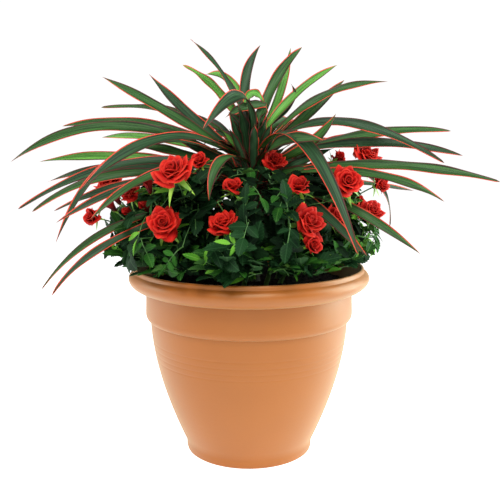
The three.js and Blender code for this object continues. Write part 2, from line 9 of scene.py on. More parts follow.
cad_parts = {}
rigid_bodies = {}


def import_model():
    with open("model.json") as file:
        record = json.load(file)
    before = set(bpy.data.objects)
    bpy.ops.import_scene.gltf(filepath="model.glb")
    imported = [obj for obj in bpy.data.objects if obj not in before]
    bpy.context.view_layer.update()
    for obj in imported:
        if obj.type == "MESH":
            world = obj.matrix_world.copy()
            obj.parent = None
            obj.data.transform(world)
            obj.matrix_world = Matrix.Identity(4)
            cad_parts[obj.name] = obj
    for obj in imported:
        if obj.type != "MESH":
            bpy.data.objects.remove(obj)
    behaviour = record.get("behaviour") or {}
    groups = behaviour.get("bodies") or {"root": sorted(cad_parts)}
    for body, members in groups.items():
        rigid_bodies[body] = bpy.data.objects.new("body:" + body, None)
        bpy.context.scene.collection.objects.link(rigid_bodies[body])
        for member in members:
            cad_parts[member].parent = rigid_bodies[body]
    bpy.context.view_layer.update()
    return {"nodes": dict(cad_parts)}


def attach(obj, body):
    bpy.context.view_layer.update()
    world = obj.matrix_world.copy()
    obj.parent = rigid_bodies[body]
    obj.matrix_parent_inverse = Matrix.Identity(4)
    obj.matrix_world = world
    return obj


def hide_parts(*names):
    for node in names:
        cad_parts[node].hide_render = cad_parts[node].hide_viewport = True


# An artificial rose bush round a strap-leaved plant, in a bell pot.
# Sizes are in millimetres and become metres where a mesh is made.

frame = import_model()
mm = 0.001
gap = 0.3
print("frame loaded:", len(frame["nodes"]), "nodes")


# Small helpers

def polar(heading, distance, height):
    angle = math.radians(heading)
    return Vector((distance * math.cos(angle), distance * math.sin(angle), height))


def mix(a, b, share):
    return a + (b - a) * share


def smooth(value, low, high):
    share = min(1, max(0, (value - low) / (high - low)))
    return share * share * (3 - 2 * share)


def paint(red, green, blue):
    # a colour as a paint chart gives it, 0 to 255, made linear
    parts = [level / 255 for level in (red, green, blue)]
    return tuple(p / 12.92 if p < 0.04045 else ((p + 0.055) / 1.055) ** 2.4 for p in parts)


class Arch:
    # a curve from its start, over a middle point, to its end
    def __init__(self, start, middle, end):
        self.start, self.middle, self.end = start, middle, end

    def at(self, share):
        first = self.start.lerp(self.middle, share)
        return first.lerp(self.middle.lerp(self.end, share), share)

    def ahead(self, share):
        first = self.middle - self.start
        return first.lerp(self.end - self.middle, share).normalized()

    def points(self, count):
        return [self.at(i / count) for i in range(count + 1)]

    def length(self):
        points = self.points(24)
        return sum((b - a).length for a, b in zip(points, points[1:]))


class Pile:
    # points, faces, finish numbers and pattern places of one growing mesh
    def __init__(self):
        self.points, self.faces, self.finishes, self.places = [], [], [], []

    def add(self, points, faces, finish=0, places=None):
        first = len(self.points)
        self.points.extend(tuple(point) for point in points)
        self.faces.extend(tuple(first + corner for corner in face) for face in faces)
        self.finishes.extend(finish if isinstance(finish, list) else [finish] * len(faces))
        self.places.extend(places or [(0, 0)] * len(points))


def meshFrom(name, pile, materials, crease=40, unit=mm):
    mesh = bpy.data.meshes.new(name)
    mesh.from_pydata([[unit * c for c in point] for point in pile.points], [], pile.faces)
    for material in materials:
        mesh.materials.append(material)
    if materials:
        mesh.polygons.foreach_set("material_index", pile.finishes)
    mark = mesh.attributes.new("finish", "INT", "FACE")
    mark.data.foreach_set("value", pile.finishes)
    corners = np.zeros(len(mesh.loops), np.int32)
    mesh.loops.foreach_get("vertex_index", corners)
    places = np.array(pile.places, np.float32)[corners]
    mesh.uv_layers.new(name="surface").data.foreach_set("uv", places.ravel())
    mesh.shade_smooth()
    mesh.set_sharp_from_angle(angle=math.radians(crease))
    return mesh


def linked(name, mesh):
    piece = bpy.data.objects.new(name, mesh)
    bpy.context.scene.collection.objects.link(piece)
    return piece


def settle(piece, nodes):
    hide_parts(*nodes)
    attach(piece, "root")
    return piece


# Node helpers, used by the finishes and by the geometry trees

def addNode(tree, kind, inputs=None, **settings):
    node = tree.nodes.new(kind)
    for name, value in settings.items():
        setattr(node, name, value)
    for socket, value in (inputs or {}).items():
        if isinstance(value, bpy.types.NodeSocket):
            tree.links.new(value, node.inputs[socket])
        else:
            node.inputs[socket].default_value = value
    return node


def maths(tree, operation, *values):
    return addNode(tree, "ShaderNodeMath", dict(enumerate(values)), operation=operation).outputs[0]


def attributeOf(tree, name, kind):
    return addNode(tree, "GeometryNodeInputNamedAttribute", {"Name": name}, data_type=kind).outputs[0]


def newTree(name, inputs):
    tree = bpy.data.node_groups.new(name, "GeometryNodeTree")
    tree.is_modifier = True
    sockets = tree.interface
    sockets.new_socket("Geometry", in_out="INPUT", socket_type="NodeSocketGeometry")
    for label, kind, value in inputs:
        socket = sockets.new_socket(label, in_out="INPUT", socket_type="NodeSocket" + kind)
        if value is not None:
            socket.default_value = value
    sockets.new_socket("Geometry", in_out="OUTPUT", socket_type="NodeSocketGeometry")
    return tree, tree.nodes.new("NodeGroupInput").outputs


def endTree(tree, geometry, materials):
    # realizes what was placed, then gives each face the material of its finish number
    current = addNode(tree, "GeometryNodeRealizeInstances", {"Geometry": geometry}).outputs[0]
    finish = attributeOf(tree, "finish", "INT")
    for number, material in enumerate(materials):
        inputs = {"Geometry": current, "Material": material}
        if len(materials) > 1:
            pair = {2: finish, 3: number}
            same = addNode(tree, "FunctionNodeCompare", pair, data_type="INT", operation="EQUAL")
            inputs["Selection"] = same.outputs[0]
        current = addNode(tree, "GeometryNodeSetMaterial", inputs).outputs[0]
    addNode(tree, "NodeGroupOutput", {0: current})


def runTree(name, mesh, tree, settings):
    holder = linked(name + "_holder", mesh)
    modifier = holder.modifiers.new("nodes", "NODES")
    modifier.node_group = tree
    for socket in tree.interface.items_tree:
        if socket.name in settings:
            modifier[socket.identifier] = settings[socket.name]
    depsgraph = bpy.context.evaluated_depsgraph_get()
    evaluated = holder.evaluated_get(depsgraph)
    made = bpy.data.meshes.new_from_object(
        evaluated, preserve_all_data_layers=True, depsgraph=depsgraph
    )
    bpy.data.objects.remove(holder)
    made.name = name
    return linked(name, made)


# Camera and studio

camera = {"lens": 50, "sensor": 36, "place": (1.4, -950, 412), "down": 8}
floor = {"size": 9000, "drop": 0.2, "colour": 0.93, "glow": 0.36, "shown": 0.72}
aimHeight = 300  # of the soft boxes
softBoxes = [
    {"name": "leftBox", "place": (-1350, 80, 800), "size": (1000, 1500), "watts": 16},
    {
        "name": "rightBox",
        "place": (1280, 200, 520),
        "size": (1000, 1500),
        "watts": 33,
        "tint": (0.88, 1, 0.97),
    },
    {"name": "frontBox", "place": (100, -1800, 1100), "size": (1300, 1000), "watts": 11},
    {"name": "topBox", "place": (60, -1050, 1750), "size": (1100, 800), "watts": 25},
]
daylight = {"glow": 0.32, "shown": 1.05}


def shownAndGlow(tree, setting):
    # one strength for what the camera sees, and another for the light that is given off
    seen = addNode(tree, "ShaderNodeLightPath").outputs["Is Camera Ray"]
    return maths(tree, "MULTIPLY_ADD", seen, setting["shown"] - setting["glow"], setting["glow"])


def makeCamera():
    data = bpy.data.cameras.new("viewCamera")
    data.lens = camera["lens"]
    data.sensor_width = camera["sensor"]
    holder = bpy.data.objects.new("viewCamera", data)
    holder.location = Vector(camera["place"]) * mm
    holder.rotation_euler = (math.radians(90 - camera["down"]), 0, 0)
    bpy.context.scene.collection.objects.link(holder)
    bpy.context.scene.camera = holder


def makeStudio():
    for box in softBoxes:
        data = bpy.data.lights.new(box["name"], "AREA")
        data.shape = "RECTANGLE"
        data.size, data.size_y = (side * mm for side in box["size"])
        data.energy = box["watts"]
        data.color = box.get("tint", (1, 1, 1))
        lamp = bpy.data.objects.new(box["name"], data)
        lamp.location = Vector(box["place"]) * mm
        aim = Vector((0, 0, aimHeight)) * mm - lamp.location
        lamp.rotation_euler = aim.to_track_quat("-Z", "Y").to_euler()
        bpy.context.scene.collection.objects.link(lamp)
    world = bpy.data.worlds.new("studio")
    bpy.context.scene.world = world
    world.use_nodes = True
    tree = world.node_tree
    sky = tree.nodes["Background"]
    sky.inputs["Color"].default_value = (1, 1, 1, 1)
    tree.links.new(shownAndGlow(tree, daylight), sky.inputs["Strength"])
    bpy.context.scene.view_settings.view_transform = "Standard"
    bpy.context.scene.view_settings.look = "None"


def makeFloor():
    half = floor["size"] / 2
    corners = [(-half, -half), (half, -half), (half, half), (-half, half)]
    pile = Pile()
    pile.add([(x, y, -floor["drop"]) for x, y in corners], [(0, 1, 2, 3)])
    white = bpy.data.materials.new("paleFloor")
    white.use_nodes = True
    shader = white.node_tree.nodes["Principled BSDF"]
    shader.inputs["Base Color"].default_value = (floor["colour"],) * 3 + (1,)
    shader.inputs["Roughness"].default_value = 0.9
    shader.inputs["Specular IOR Level"].default_value = 0.1
    shader.inputs["Emission Color"].default_value = (1, 1, 1, 1)
    strength = shownAndGlow(white.node_tree, floor)
    white.node_tree.links.new(strength, shader.inputs["Emission Strength"])
    linked("studio_floor", meshFrom("studio_floor", pile, [white]))


makeCamera()
makeStudio()
makeFloor()
print("camera and studio ready")


# Finishes

def startMaterial(name, colour, roughness, level=0.5):
    material = bpy.data.materials.new(name)
    material.use_nodes = True
    shader = material.node_tree.nodes["Principled BSDF"]
    shader.inputs["Base Color"].default_value = (*colour, 1)
    shader.inputs["Roughness"].default_value = roughness
    shader.inputs["Specular IOR Level"].default_value = level
    return material, material.node_tree, shader


def noiseAt(tree, place, scale, detail, stretch):
    place = addNode(tree, "ShaderNodeMapping", {"Vector": place, "Scale": stretch}).outputs[0]
    inputs = {"Vector": place, "Scale": scale, "Detail": detail}
    return addNode(tree, "ShaderNodeTexNoise", inputs).outputs[0]


def objectNoise(tree, scale, detail, stretch=(1, 1, 1)):
    place = addNode(tree, "ShaderNodeTexCoord").outputs["Object"]
    return noiseAt(tree, place, scale, detail, stretch)


def surfaceNoise(tree, scale, detail, stretch):
    place = addNode(tree, "ShaderNodeUVMap", uv_map="surface").outputs[0]
    return noiseAt(tree, place, scale, detail, stretch)


def surfacePlace(tree):
    # the distance from the middle line, 0 to 1 at the edge, and the way along it
    place = addNode(tree, "ShaderNodeUVMap", uv_map="surface").outputs[0]
    parts = addNode(tree, "ShaderNodeSeparateXYZ", {0: place})
    across = maths(tree, "MULTIPLY_ADD", parts.outputs[0], 2, -1)
    return maths(tree, "ABSOLUTE", across), parts.outputs[1]


def blendColours(tree, factor, stops):
    ramp = addNode(tree, "ShaderNodeValToRGB", {0: factor})
    elements = ramp.color_ramp.elements
    while len(elements) < len(stops):
        elements.new(0.5)
    for element, (position, colour) in zip(elements, stops):
        element.position = position
        element.color = (*colour, 1)
    return ramp.outputs[0]


def mixColours(tree, first, second, share, way="MIX"):
    inputs = {"Factor": share, 6: first, 7: second}
    return addNode(tree, "ShaderNodeMix", inputs, data_type="RGBA", blend_type=way).outputs[2]


def emboss(tree, shader, height, strength, distance):
    inputs = {"Height": height, "Strength": strength, "Distance": distance}
    tree.links.new(addNode(tree, "ShaderNodeBump", inputs).outputs[0], shader.inputs["Normal"])


def mouldedPlastic():
    material, tree, shader = startMaterial("mouldedTerracotta", paint(156, 83, 22), 0.42, 0.7)
    cloud = objectNoise(tree, 5, 3)
    colour = blendColours(tree, cloud, [(0.3, paint(150, 79, 19)), (0.7, paint(162, 88, 24))])
    speck = objectNoise(tree, 900, 2)
    grain = blendColours(tree, speck, [(0.25, (0.9, 0.9, 0.9)), (0.5, (1, 1, 1))])
    tree.links.new(mixColours(tree, colour, grain, 0.5, "MULTIPLY"), shader.inputs["Base Color"])
    emboss(tree, shader, objectNoise(tree, 6, 3, (0.6, 0.6, 60)), 0.1, 0.0005)
    shader.inputs["Specular Tint"].default_value = (1, 0.95, 0.66, 1)
    shader.inputs["Sheen Weight"].default_value = 0.4
    shader.inputs["Sheen Roughness"].default_value = 0.4
    shader.inputs["Sheen Tint"].default_value = (1, 0.86, 0.5, 1)
    return material


def crumblyFill():
    material, tree, shader = startMaterial("pottingCrumbs", paint(24, 18, 13), 0.95, 0.15)
    lumps = objectNoise(tree, 160, 6)
    stops = [(0.3, paint(9, 7, 5)), (0.55, paint(28, 20, 15)), (0.8, paint(58, 42, 30))]
    tree.links.new(blendColours(tree, lumps, stops), shader.inputs["Base Color"])
    emboss(tree, shader, lumps, 0.6, 0.002)
    return material


def greenStalk(name, dark, light, roughness):
    material, tree, shader = startMaterial(name, light, roughness)
    grain = objectNoise(tree, 90, 4, (1, 1, 0.25))
    tree.links.new(blendColours(tree, grain, [(0.35, dark), (0.65, light)]), shader.inputs["Base Color"])
    emboss(tree, shader, grain, 0.3, 0.0006)
    return material


def streakedBlade(name, dark, light, roughness):
    # lengthwise streaks of a printed strap leaf, which darken towards its edges
    material, tree, shader = startMaterial(name, dark, roughness, 0.22)
    fine = surfaceNoise(tree, 1, 2, (9, 1.1, 1))
    broad = surfaceNoise(tree, 1, 2, (2.6, 0.6, 1))
    streaks = blendColours(tree, fine, [(0.32, dark), (0.66, light)])
    shade = blendColours(tree, broad, [(0.3, (0.6, 0.64, 0.62)), (0.62, (1, 1, 1))])
    side, _ = surfacePlace(tree)
    border = blendColours(tree, side, [(0.5, (1, 1, 1)), (0.9, (0.55, 0.42, 0.4))])
    shade = mixColours(tree, shade, border, 1, "MULTIPLY")
    tree.links.new(mixColours(tree, streaks, shade, 1, "MULTIPLY"), shader.inputs["Base Color"])
    emboss(tree, shader, fine, 0.3, 0.0005)
    return material


def bladeEdge(name, colour, roughness):
    material, tree, shader = startMaterial(name, colour, roughness, 0.4)
    faded = surfaceNoise(tree, 1, 2, (2, 5, 1))
    dull = tuple(part * 0.7 for part in colour)
    tree.links.new(blendColours(tree, faded, [(0.3, dull), (0.6, colour)]), shader.inputs["Base Color"])
    return material


veins = {"count": 7, "slant": 2.2, "width": 0.16, "rib": (0.03, 0.1), "strength": 0.45}


def veinedLeaf(name, dark, light, vein, roughness):
    # side veins slant forward from the midrib on both halves of the leaf
    material, tree, shader = startMaterial(name, dark, roughness, 0.04)
    side, reach = surfacePlace(tree)
    count = maths(tree, "MULTIPLY", reach, veins["count"])
    slant = maths(tree, "MULTIPLY_ADD", side, -veins["slant"], count)
    lines = blendColours(tree, maths(tree, "FRACT", slant), [(0, (1, 1, 1)), (veins["width"], (0, 0, 0))])
    full, none = veins["rib"]
    rib = blendColours(tree, side, [(full, (1, 1, 1)), (none, (0, 0, 0))])
    marks = maths(tree, "MAXIMUM", lines, rib)
    cloud = blendColours(tree, objectNoise(tree, 30, 3), [(0.35, dark), (0.65, light)])
    veined = mixColours(tree, cloud, (*vein, 1), maths(tree, "MULTIPLY", marks, veins["strength"]))
    tree.links.new(veined, shader.inputs["Base Color"])
    emboss(tree, shader, marks, 0.35, 0.0005)
    return material


def velvetPetalPaintedLight(name, dark, light, rim):
    # painted shade deep at a petal's base, lightening towards its tip, and a painted highlight round its
    # rim
    material, tree, shader = startMaterial(name, light, 0.6, 0.12)
    side, reach = surfacePlace(tree)
    # the dark colour towards a petal's base is painted shade between the petals
    body = blendColours(tree, reach, [(0.4, dark), (0.92, light)])
    # the outer margin of each petal, where the rim colour is a painted highlight
    edge = blendColours(tree, maths(tree, "MAXIMUM", side, reach), [(0.86, (0, 0, 0)), (1, (1, 1, 1))])
    cloud = blendColours(tree, objectNoise(tree, 70, 4), [(0.3, (0.72, 0.7, 0.7)), (0.6, (1, 1, 1))])
    withPaintedHighlight = mixColours(tree, body, (*rim, 1), edge)
    tree.links.new(mixColours(tree, withPaintedHighlight, cloud, 1, "MULTIPLY"), shader.inputs["Base Color"])
    emboss(tree, shader, objectNoise(tree, 420, 2), 0.1, 0.0004)
    shader.inputs["Sheen Weight"].default_value = 0.03
    shader.inputs["Sheen Roughness"].default_value = 0.4
    shader.inputs["Sheen Tint"].default_value = (1, 0.35, 0.25, 1)
    return material


potFinish = mouldedPlastic()
fillFinish = crumblyFill()
stalkFinish = greenStalk("strapStalk", paint(26, 30, 18), paint(54, 60, 34), 0.7)
caneFinish = greenStalk("roseCane", paint(44, 74, 30), paint(84, 122, 52), 0.5)
twigFinish = greenStalk("roseTwig", paint(50, 92, 40), paint(92, 140, 66), 0.5)
bladeFinishes = [
    streakedBlade("bladeDark", paint(15, 37, 20), paint(54, 92, 54), 0.5),
    # bright yellow-green for young blades, partly painted back-light
    streakedBlade("bladeGreen", paint(52, 108, 34), paint(116, 184, 76), 0.5),
    streakedBlade("bladeUnder", paint(34, 76, 28), paint(78, 128, 56), 0.55),
    # a lit copy of the red margin and a darker copy of it, painted shade
    bladeEdge("edgePaintedLit", paint(206, 64, 38), 0.55),
    bladeEdge("edgePaintedShade", paint(88, 26, 22), 0.55),
    streakedBlade("bladeMid", paint(22, 54, 20), paint(66, 112, 50), 0.5),
]
# the heart's petals have the darkest colours and the outer ones the lightest: painted shade deep in the
# bloom
petalFinishes = [
    velvetPetalPaintedLight("petalHeart", paint(66, 2, 2), paint(150, 8, 5), paint(180, 26, 16)),
    velvetPetalPaintedLight("petalMiddle", paint(80, 3, 3), paint(180, 13, 8), paint(202, 42, 28)),
    velvetPetalPaintedLight("petalOuter", paint(92, 4, 4), paint(194, 19, 11), paint(212, 54, 36)),
]
sepalFinishes = [greenStalk("sepal", paint(84, 142, 30), paint(160, 200, 66), 0.5)]
leafFinishes = {
    # the darkest leaves: painted shade for the inside of the bush
    "deep": [
        veinedLeaf("leafDeepShade", paint(5, 16, 7), paint(13, 34, 13), paint(28, 52, 26), 0.65),
        veinedLeaf("leafDeepShadeUnder", paint(10, 26, 10), paint(20, 42, 18), paint(32, 56, 28), 0.8),
    ],
    "dark": [
        veinedLeaf("leafDark", paint(8, 27, 13), paint(24, 56, 26), paint(52, 88, 52), 0.42),
        veinedLeaf("leafDarkUnder", paint(26, 52, 28), paint(46, 78, 44), paint(70, 100, 62), 0.6),
    ],
    "mid": [
        veinedLeaf("leafMid", paint(14, 46, 12), paint(38, 86, 26), paint(78, 126, 54), 0.42),
        veinedLeaf("leafMidUnder", paint(32, 66, 26), paint(58, 98, 42), paint(84, 124, 60), 0.65),
    ],
    "young": [
        veinedLeaf("leafYoung", paint(48, 106, 22), paint(98, 156, 48), paint(138, 190, 84), 0.45),
        veinedLeaf("leafYoungUnder", paint(76, 122, 50), paint(112, 156, 74), paint(136, 178, 96), 0.6),
    ],
}
print("finishes ready")


# Pot: a turned shell with a plain band, fine grooves, a rolled rim and an inner bead

pot = {
    "segments": 160,
    "footRadius": 88,
    "footHeight": 12,
    "footEdge": [(2.5, 0), (0.7, 0.7)],  # steps in and up of the foot's rounded edge
    "bellRadius": 136,
    "bellTop": 186,
    "bellFullness": 1.7,
    "bandRadius": 142.5,
    "bandTop": 227,
    "bandRound": 9,  # height of the rounded lower edge of the band
    "bandSteps": 8,
    "rimRadius": 167,
    "rimHeight": 242,
    "rimRoll": [(-4, 2), (5, 4), (2.5, 10.5)],  # how far the roll's handles lie from the lines they follow
    "rimInside": [(11, 4), (6, -6)],
    "rimSteps": 20,
    "beadRadius": 155.5,
    "beadSize": (2.2, 3),
    "beadArc": (-20, 180),
    "beadSteps": 8,
    "height": 258,
    "wall": 3,
    "floor": 4,
    "grooves": [133, 141, 149, 158],
    "grooveDepth": 0.28,
    "grooveWidth": 1.1,
    "grooveMargin": 4,
    "fineStep": 0.5,
    "coarseStep": 6,
    "innerStep": 16,
}


def lathe(profile, segments, centre=(0, 0)):
    # profile runs from the axis below, round the outside, back to the axis
    pile = Pile()
    rings = [(r, z) for r, z in profile if r > 0]
    turns = [2 * math.pi * k / segments for k in range(segments)]
    points = [(*centre, profile[0][1])]
    for radius, height in rings:
        for turn in turns:
            x, y = radius * math.cos(turn), radius * math.sin(turn)
            points.append((centre[0] + x, centre[1] + y, height))
    points.append((*centre, profile[-1][1]))
    last = len(points) - 1
    faces = []
    for k in range(segments):
        after = (k + 1) % segments
        faces.append((0, 1 + after, 1 + k))
        for ring in range(len(rings) - 1):
            low, high = 1 + ring * segments, 1 + (ring + 1) * segments
            faces.append((low + k, low + after, high + after, high + k))
        top = 1 + (len(rings) - 1) * segments
        faces.append((top + k, top + after, last))
    pile.add(points, faces)
    return pile


def bellRadius(height):
    share = min(1, max(0, (height - pot["footHeight"]) / (pot["bellTop"] - pot["footHeight"])))
    swell = 1 - (1 - share) ** pot["bellFullness"]
    return mix(pot["footRadius"], pot["bellRadius"], swell)


def groovedRadius(height):
    cuts = [math.exp(-(((height - at) / pot["grooveWidth"]) ** 2)) for at in pot["grooves"]]
    return bellRadius(height) - pot["grooveDepth"] * sum(cuts)


def rimProfile():
    # cubic roll out of the band, over the widest line, to the bead
    under, over, last = pot["rimRoll"]
    a = Vector((pot["bandRadius"] - 1, pot["bandTop"]))
    b = Vector((pot["rimRadius"] + under[0], pot["bandTop"] + under[1]))
    c = Vector((pot["rimRadius"] + over[0], pot["rimHeight"] + over[1]))
    d = Vector((pot["beadRadius"] + last[0], pot["rimHeight"] + last[1]))
    profile = []
    for i in range(pot["rimSteps"] + 1):
        s = i / pot["rimSteps"]
        point = a * (1 - s) ** 3 + b * 3 * s * (1 - s) ** 2 + c * 3 * s * s * (1 - s) + d * s**3
        profile.append((point.x, point.y))
    wide, high = pot["beadSize"]
    for i in range(pot["beadSteps"] + 1):
        turn = math.radians(mix(*pot["beadArc"], i / pot["beadSteps"]))
        rise = pot["height"] - high + high * math.sin(turn)
        profile.append((pot["beadRadius"] + wide * math.cos(turn), rise))
    return profile


def makePot():
    top, band = pot["bellTop"], pot["bandRadius"]
    inner = band - pot["wall"]
    fineFrom, fineTo = pot["grooves"][0] - pot["grooveMargin"], pot["grooves"][-1] + pot["grooveMargin"]
    heights = [
        *np.arange(3, fineFrom, pot["coarseStep"]),
        *np.arange(fineFrom, fineTo, pot["fineStep"]),
        *np.arange(fineTo + 1, top, pot["coarseStep"] - 1),
    ]
    profile = [(0, 0)] + [(pot["footRadius"] - step, rise) for step, rise in pot["footEdge"]]
    profile += [(groovedRadius(z), z) for z in heights]
    reach = band - bellRadius(top)
    for i in range(pot["bandSteps"] + 1):
        turn = math.radians(90 * i / pot["bandSteps"])
        rise = pot["bandRound"] * (1 - math.cos(turn))
        profile.append((bellRadius(top) + reach * math.sin(turn), top + rise))
    profile += rimProfile()
    profile += [(inner + step, pot["rimHeight"] + rise) for step, rise in pot["rimInside"]]
    profile += [(inner, pot["bandTop"]), (inner - 0.5, top + 4)]
    profile += [(bellRadius(z) - pot["wall"], z) for z in np.arange(top, 10, -pot["innerStep"])]
    profile += [(bellRadius(pot["floor"]) - pot["wall"], pot["floor"]), (0, pot["floor"])]
    mesh = meshFrom("bell_pot", lathe(profile, pot["segments"]), [potFinish], 35)
    settle(linked("bell_pot", mesh), ["pot"])


makePot()
print("pot turned")


# Potting fill: an uneven bed with crumbs scattered over it

soil = {
    "top": 235,
    "segments": 96,
    "rings": 26,
    "unevenness": 1.6,
    "clearance": 0.8,  # to the pot's wall
    "step": 16,
    "crumbs": {"Density": 26000.0, "Size": 2.1 * mm, "Seed": 11},
}


def randomVector(tree, low, high, seed):
    inputs = {0: low, 1: high, "Seed": seed}
    return addNode(tree, "FunctionNodeRandomValue", inputs, data_type="FLOAT_VECTOR").outputs[0]


def crumbTree():
    inputs = [("Density", "Float", 20000.0), ("Size", "Float", 0.002), ("Seed", "Int", 1)]
    tree, given = newTree("scatterCrumbs", inputs)
    bed, seed = given["Geometry"], given["Seed"]
    normal = addNode(tree, "GeometryNodeInputNormal").outputs[0]
    up = addNode(tree, "ShaderNodeSeparateXYZ", {0: normal}).outputs[2]
    level = addNode(tree, "FunctionNodeCompare", {0: up, 1: 0.7}, operation="GREATER_THAN").outputs[0]
    scatter = {"Mesh": bed, "Selection": level, "Density": given["Density"], "Seed": seed}
    spots = addNode(tree, "GeometryNodeDistributePointsOnFaces", scatter)
    ball = {"Radius": given["Size"], "Subdivisions": 1}
    crumb = addNode(tree, "GeometryNodeMeshIcoSphere", ball).outputs[0]
    turn = randomVector(tree, (0, 0, 0), (6.3, 6.3, 6.3), seed)
    size = randomVector(tree, (0.25, 0.3, 0.2), (1, 0.8, 0.6), seed)
    placing = {"Points": spots.outputs[0], "Instance": crumb, "Scale": size}
    placing["Rotation"] = addNode(tree, "FunctionNodeEulerToRotation", {0: turn}).outputs[0]
    crumbs = addNode(tree, "GeometryNodeInstanceOnPoints", placing)
    joined = addNode(tree, "GeometryNodeJoinGeometry", {0: crumbs.outputs[0]})
    tree.links.new(bed, joined.inputs[0])
    endTree(tree, joined.outputs[0], [fillFinish])
    return tree


def makeFill():
    random = Random(soil["crumbs"]["Seed"])
    inset = pot["wall"] + soil["clearance"]
    edge = pot["bandRadius"] - inset - 1
    profile = [(0, pot["floor"] + gap), (bellRadius(pot["floor"]) - inset, pot["floor"] + gap)]
    heights = np.arange(pot["footHeight"], pot["bellTop"], soil["step"])
    profile += [(bellRadius(z) - inset, z) for z in heights]
    profile += [(edge - 4, pot["bellTop"] + 1), (edge, pot["bellTop"] + 8), (edge, soil["top"] - 3)]
    shares = [1 - (ring + 1) / (soil["rings"] + 1) for ring in range(soil["rings"])]
    profile += [(edge * share, soil["top"]) for share in shares] + [(0, soil["top"])]
    bed = lathe(profile, soil["segments"])
    uneven = []
    for x, y, z in bed.points:
        lift = soil["unevenness"] * (2 * random.random() - 1) if z > soil["top"] - 1 else 0
        uneven.append((x, y, z + lift))
    bed.points = uneven
    piece = runTree("potting_crumbs", meshFrom("fillBed", bed, [fillFinish]), crumbTree(), soil["crumbs"])
    settle(piece, ["potting_soil"])


makeFill()
print("potting fill laid")


# Strap-leaved plant: a short stem, arching blades all round it and a tuft over it

stem = {
    "x": 6,
    "footRadius": 10,
    "topRadius": 8,
    "top": 408,
    "ringSpacing": 7,
    "ringHeight": 0.7,
    "ringSteps": 4,
    "segments": 24,
}
hub = {"height": 44, "radius": 7, "tipRadius": 4}
strap = {
    "width": 15,
    "rows": 34,
    "rootShare": 0.5,  # width at the root, as a share of the full width
    "rootEnd": 0.3,  # where the full width is reached
    "taperStart": 0.55,
    "taperPower": 2.5,
    "tipSize": 0.16,
    "point": 5,
    "fold": 0.16,  # height of the edges over the midrib, as a share of the width
    "thickness": 0.55,
    "edgeThickness": 0.4,
    "frontRoll": 57,  # turn of the blades at the sides, which brings their near edge down
    "brightEdge": 1.1,
    "shadedEdgeWidth": 0.9,
    "wave": 1.1,  # how far the edges ripple
    "twist": 7,
    "seed": 58,
}
# the bright and the dull edge finishes are lit and shaded copies of the one red margin: painted light and
# painted shade
bladeNumbers = {"dark": 0, "green": 1, "under": 2, "bright": 3, "dull": 4, "mid": 5}  # in bladeFinishes


def blade(heading, root, reach, tip, launch, bend, **more):
    # heading in degrees from +X, root and tip heights, reach from the stem, slope at the root,
    # and how far the curve's middle lies out along that slope. More can be said of a blade:
    # width, roll at its end and sweep to one side; early, the share of the roll that its root
    # has; taper, where it starts to narrow; start, where a crown leaf springs from the hub;
    # lit, which edge has the lit colour while the other has painted shade; under, its underside's
    # finish, where 0 paints shade on it; and inner, for shaded leaves, whose undersides and most
    # edges get painted shade
    shape = {"heading": heading, "root": root, "reach": reach, "tip": tip, "launch": launch, "bend": bend}
    return {**shape, "tone": "dark", **more}


leftBlades = [
    blade(188, 400, 135, 510, 32, 0.44, roll=-70),
    blade(196, 397, 194, 504, 33, 0.5, roll=-66, tone="mid"),
    blade(160, 405, 231, 477, 53, 0.41, roll=40, tone="green", width=13),
    blade(172, 395, 266, 449, 33, 0.54, tone="mid", width=14),
    blade(182, 387, 323, 401, 32, 0.66, width=16, tone="mid"),
    blade(150, 388, 265, 435, 24, 0.53, tone="green", width=13),
    blade(178, 370, 289, 400, 20, 0.54, tone="green"),
    blade(222, 399, 257, 374, 29, 0.61, width=16),
    blade(166, 363, 308, 370, 19, 0.56, width=13),
    blade(204, 374, 167, 420, 25, 0.62, tone="mid"),
    blade(188, 380, 307, 341, 21, 0.53, width=13),
    blade(194, 354, 286, 340, 23, 0.64, tone="mid", width=13),
    blade(203, 363, 261, 343, 15, 0.56, width=12),
    blade(208, 392, 267, 308, 28, 0.76, width=10),
    blade(212, 371, 268, 333, 13, 0.55, width=12),
    blade(220, 380, 241, 339, 16, 0.62, tone="mid", width=13),
    blade(199, 334, 280, 244, 8, 0.65, tone="mid", width=10),
    blade(216, 346, 284, 253, -4, 0.75, width=10),
]
rightBlades = [
    blade(18, 398, 130, 509, 44, 0.52, roll=66, tone="mid"),
    blade(8, 404, 182, 508, 58, 0.58, width=12, tone="mid"),
    # its underside takes the darkest top finish: painted shade
    blade(235, 403, 104, 444, 86, 1.3, width=19, sweep=20, roll=-45, under=0),
    blade(15, 390, 294, 443, 23, 0.54, tone="mid"),
    blade(345, 403, 246, 401, 50, 0.53),
    blade(350, 394, 269, 409, 22, 0.52),
    blade(339, 385, 312, 378, 8, 0.58, width=15, tone="mid"),
    blade(329, 377, 257, 357, 10, 0.68, tone="mid", width=13),
    blade(20, 381, 140, 438, 25, 0.54, width=12),
    blade(326, 391, 121, 456, 13, 0.63, width=13, roll=-62, tone="green"),
    blade(297, 386, 168, 426, 50, 0.44, width=17, roll=66, lit=1, tone="mid"),
    blade(298, 404, 236, 307, 41, 0.58, width=17, lit=0),
    blade(311, 371, 196, 296, 6, 0.37, lit=1),
    blade(332, 364, 228, 291, 8, 0.43, width=14, tone="mid", lit=1),
    blade(3, 378, 190, 314, 14, 0.99, width=7),
    blade(26, 370, 272, 354, 4, 0.49, width=10),
    blade(244, 396, 123, 359, 17, 0.91, width=13, tone="mid"),
]
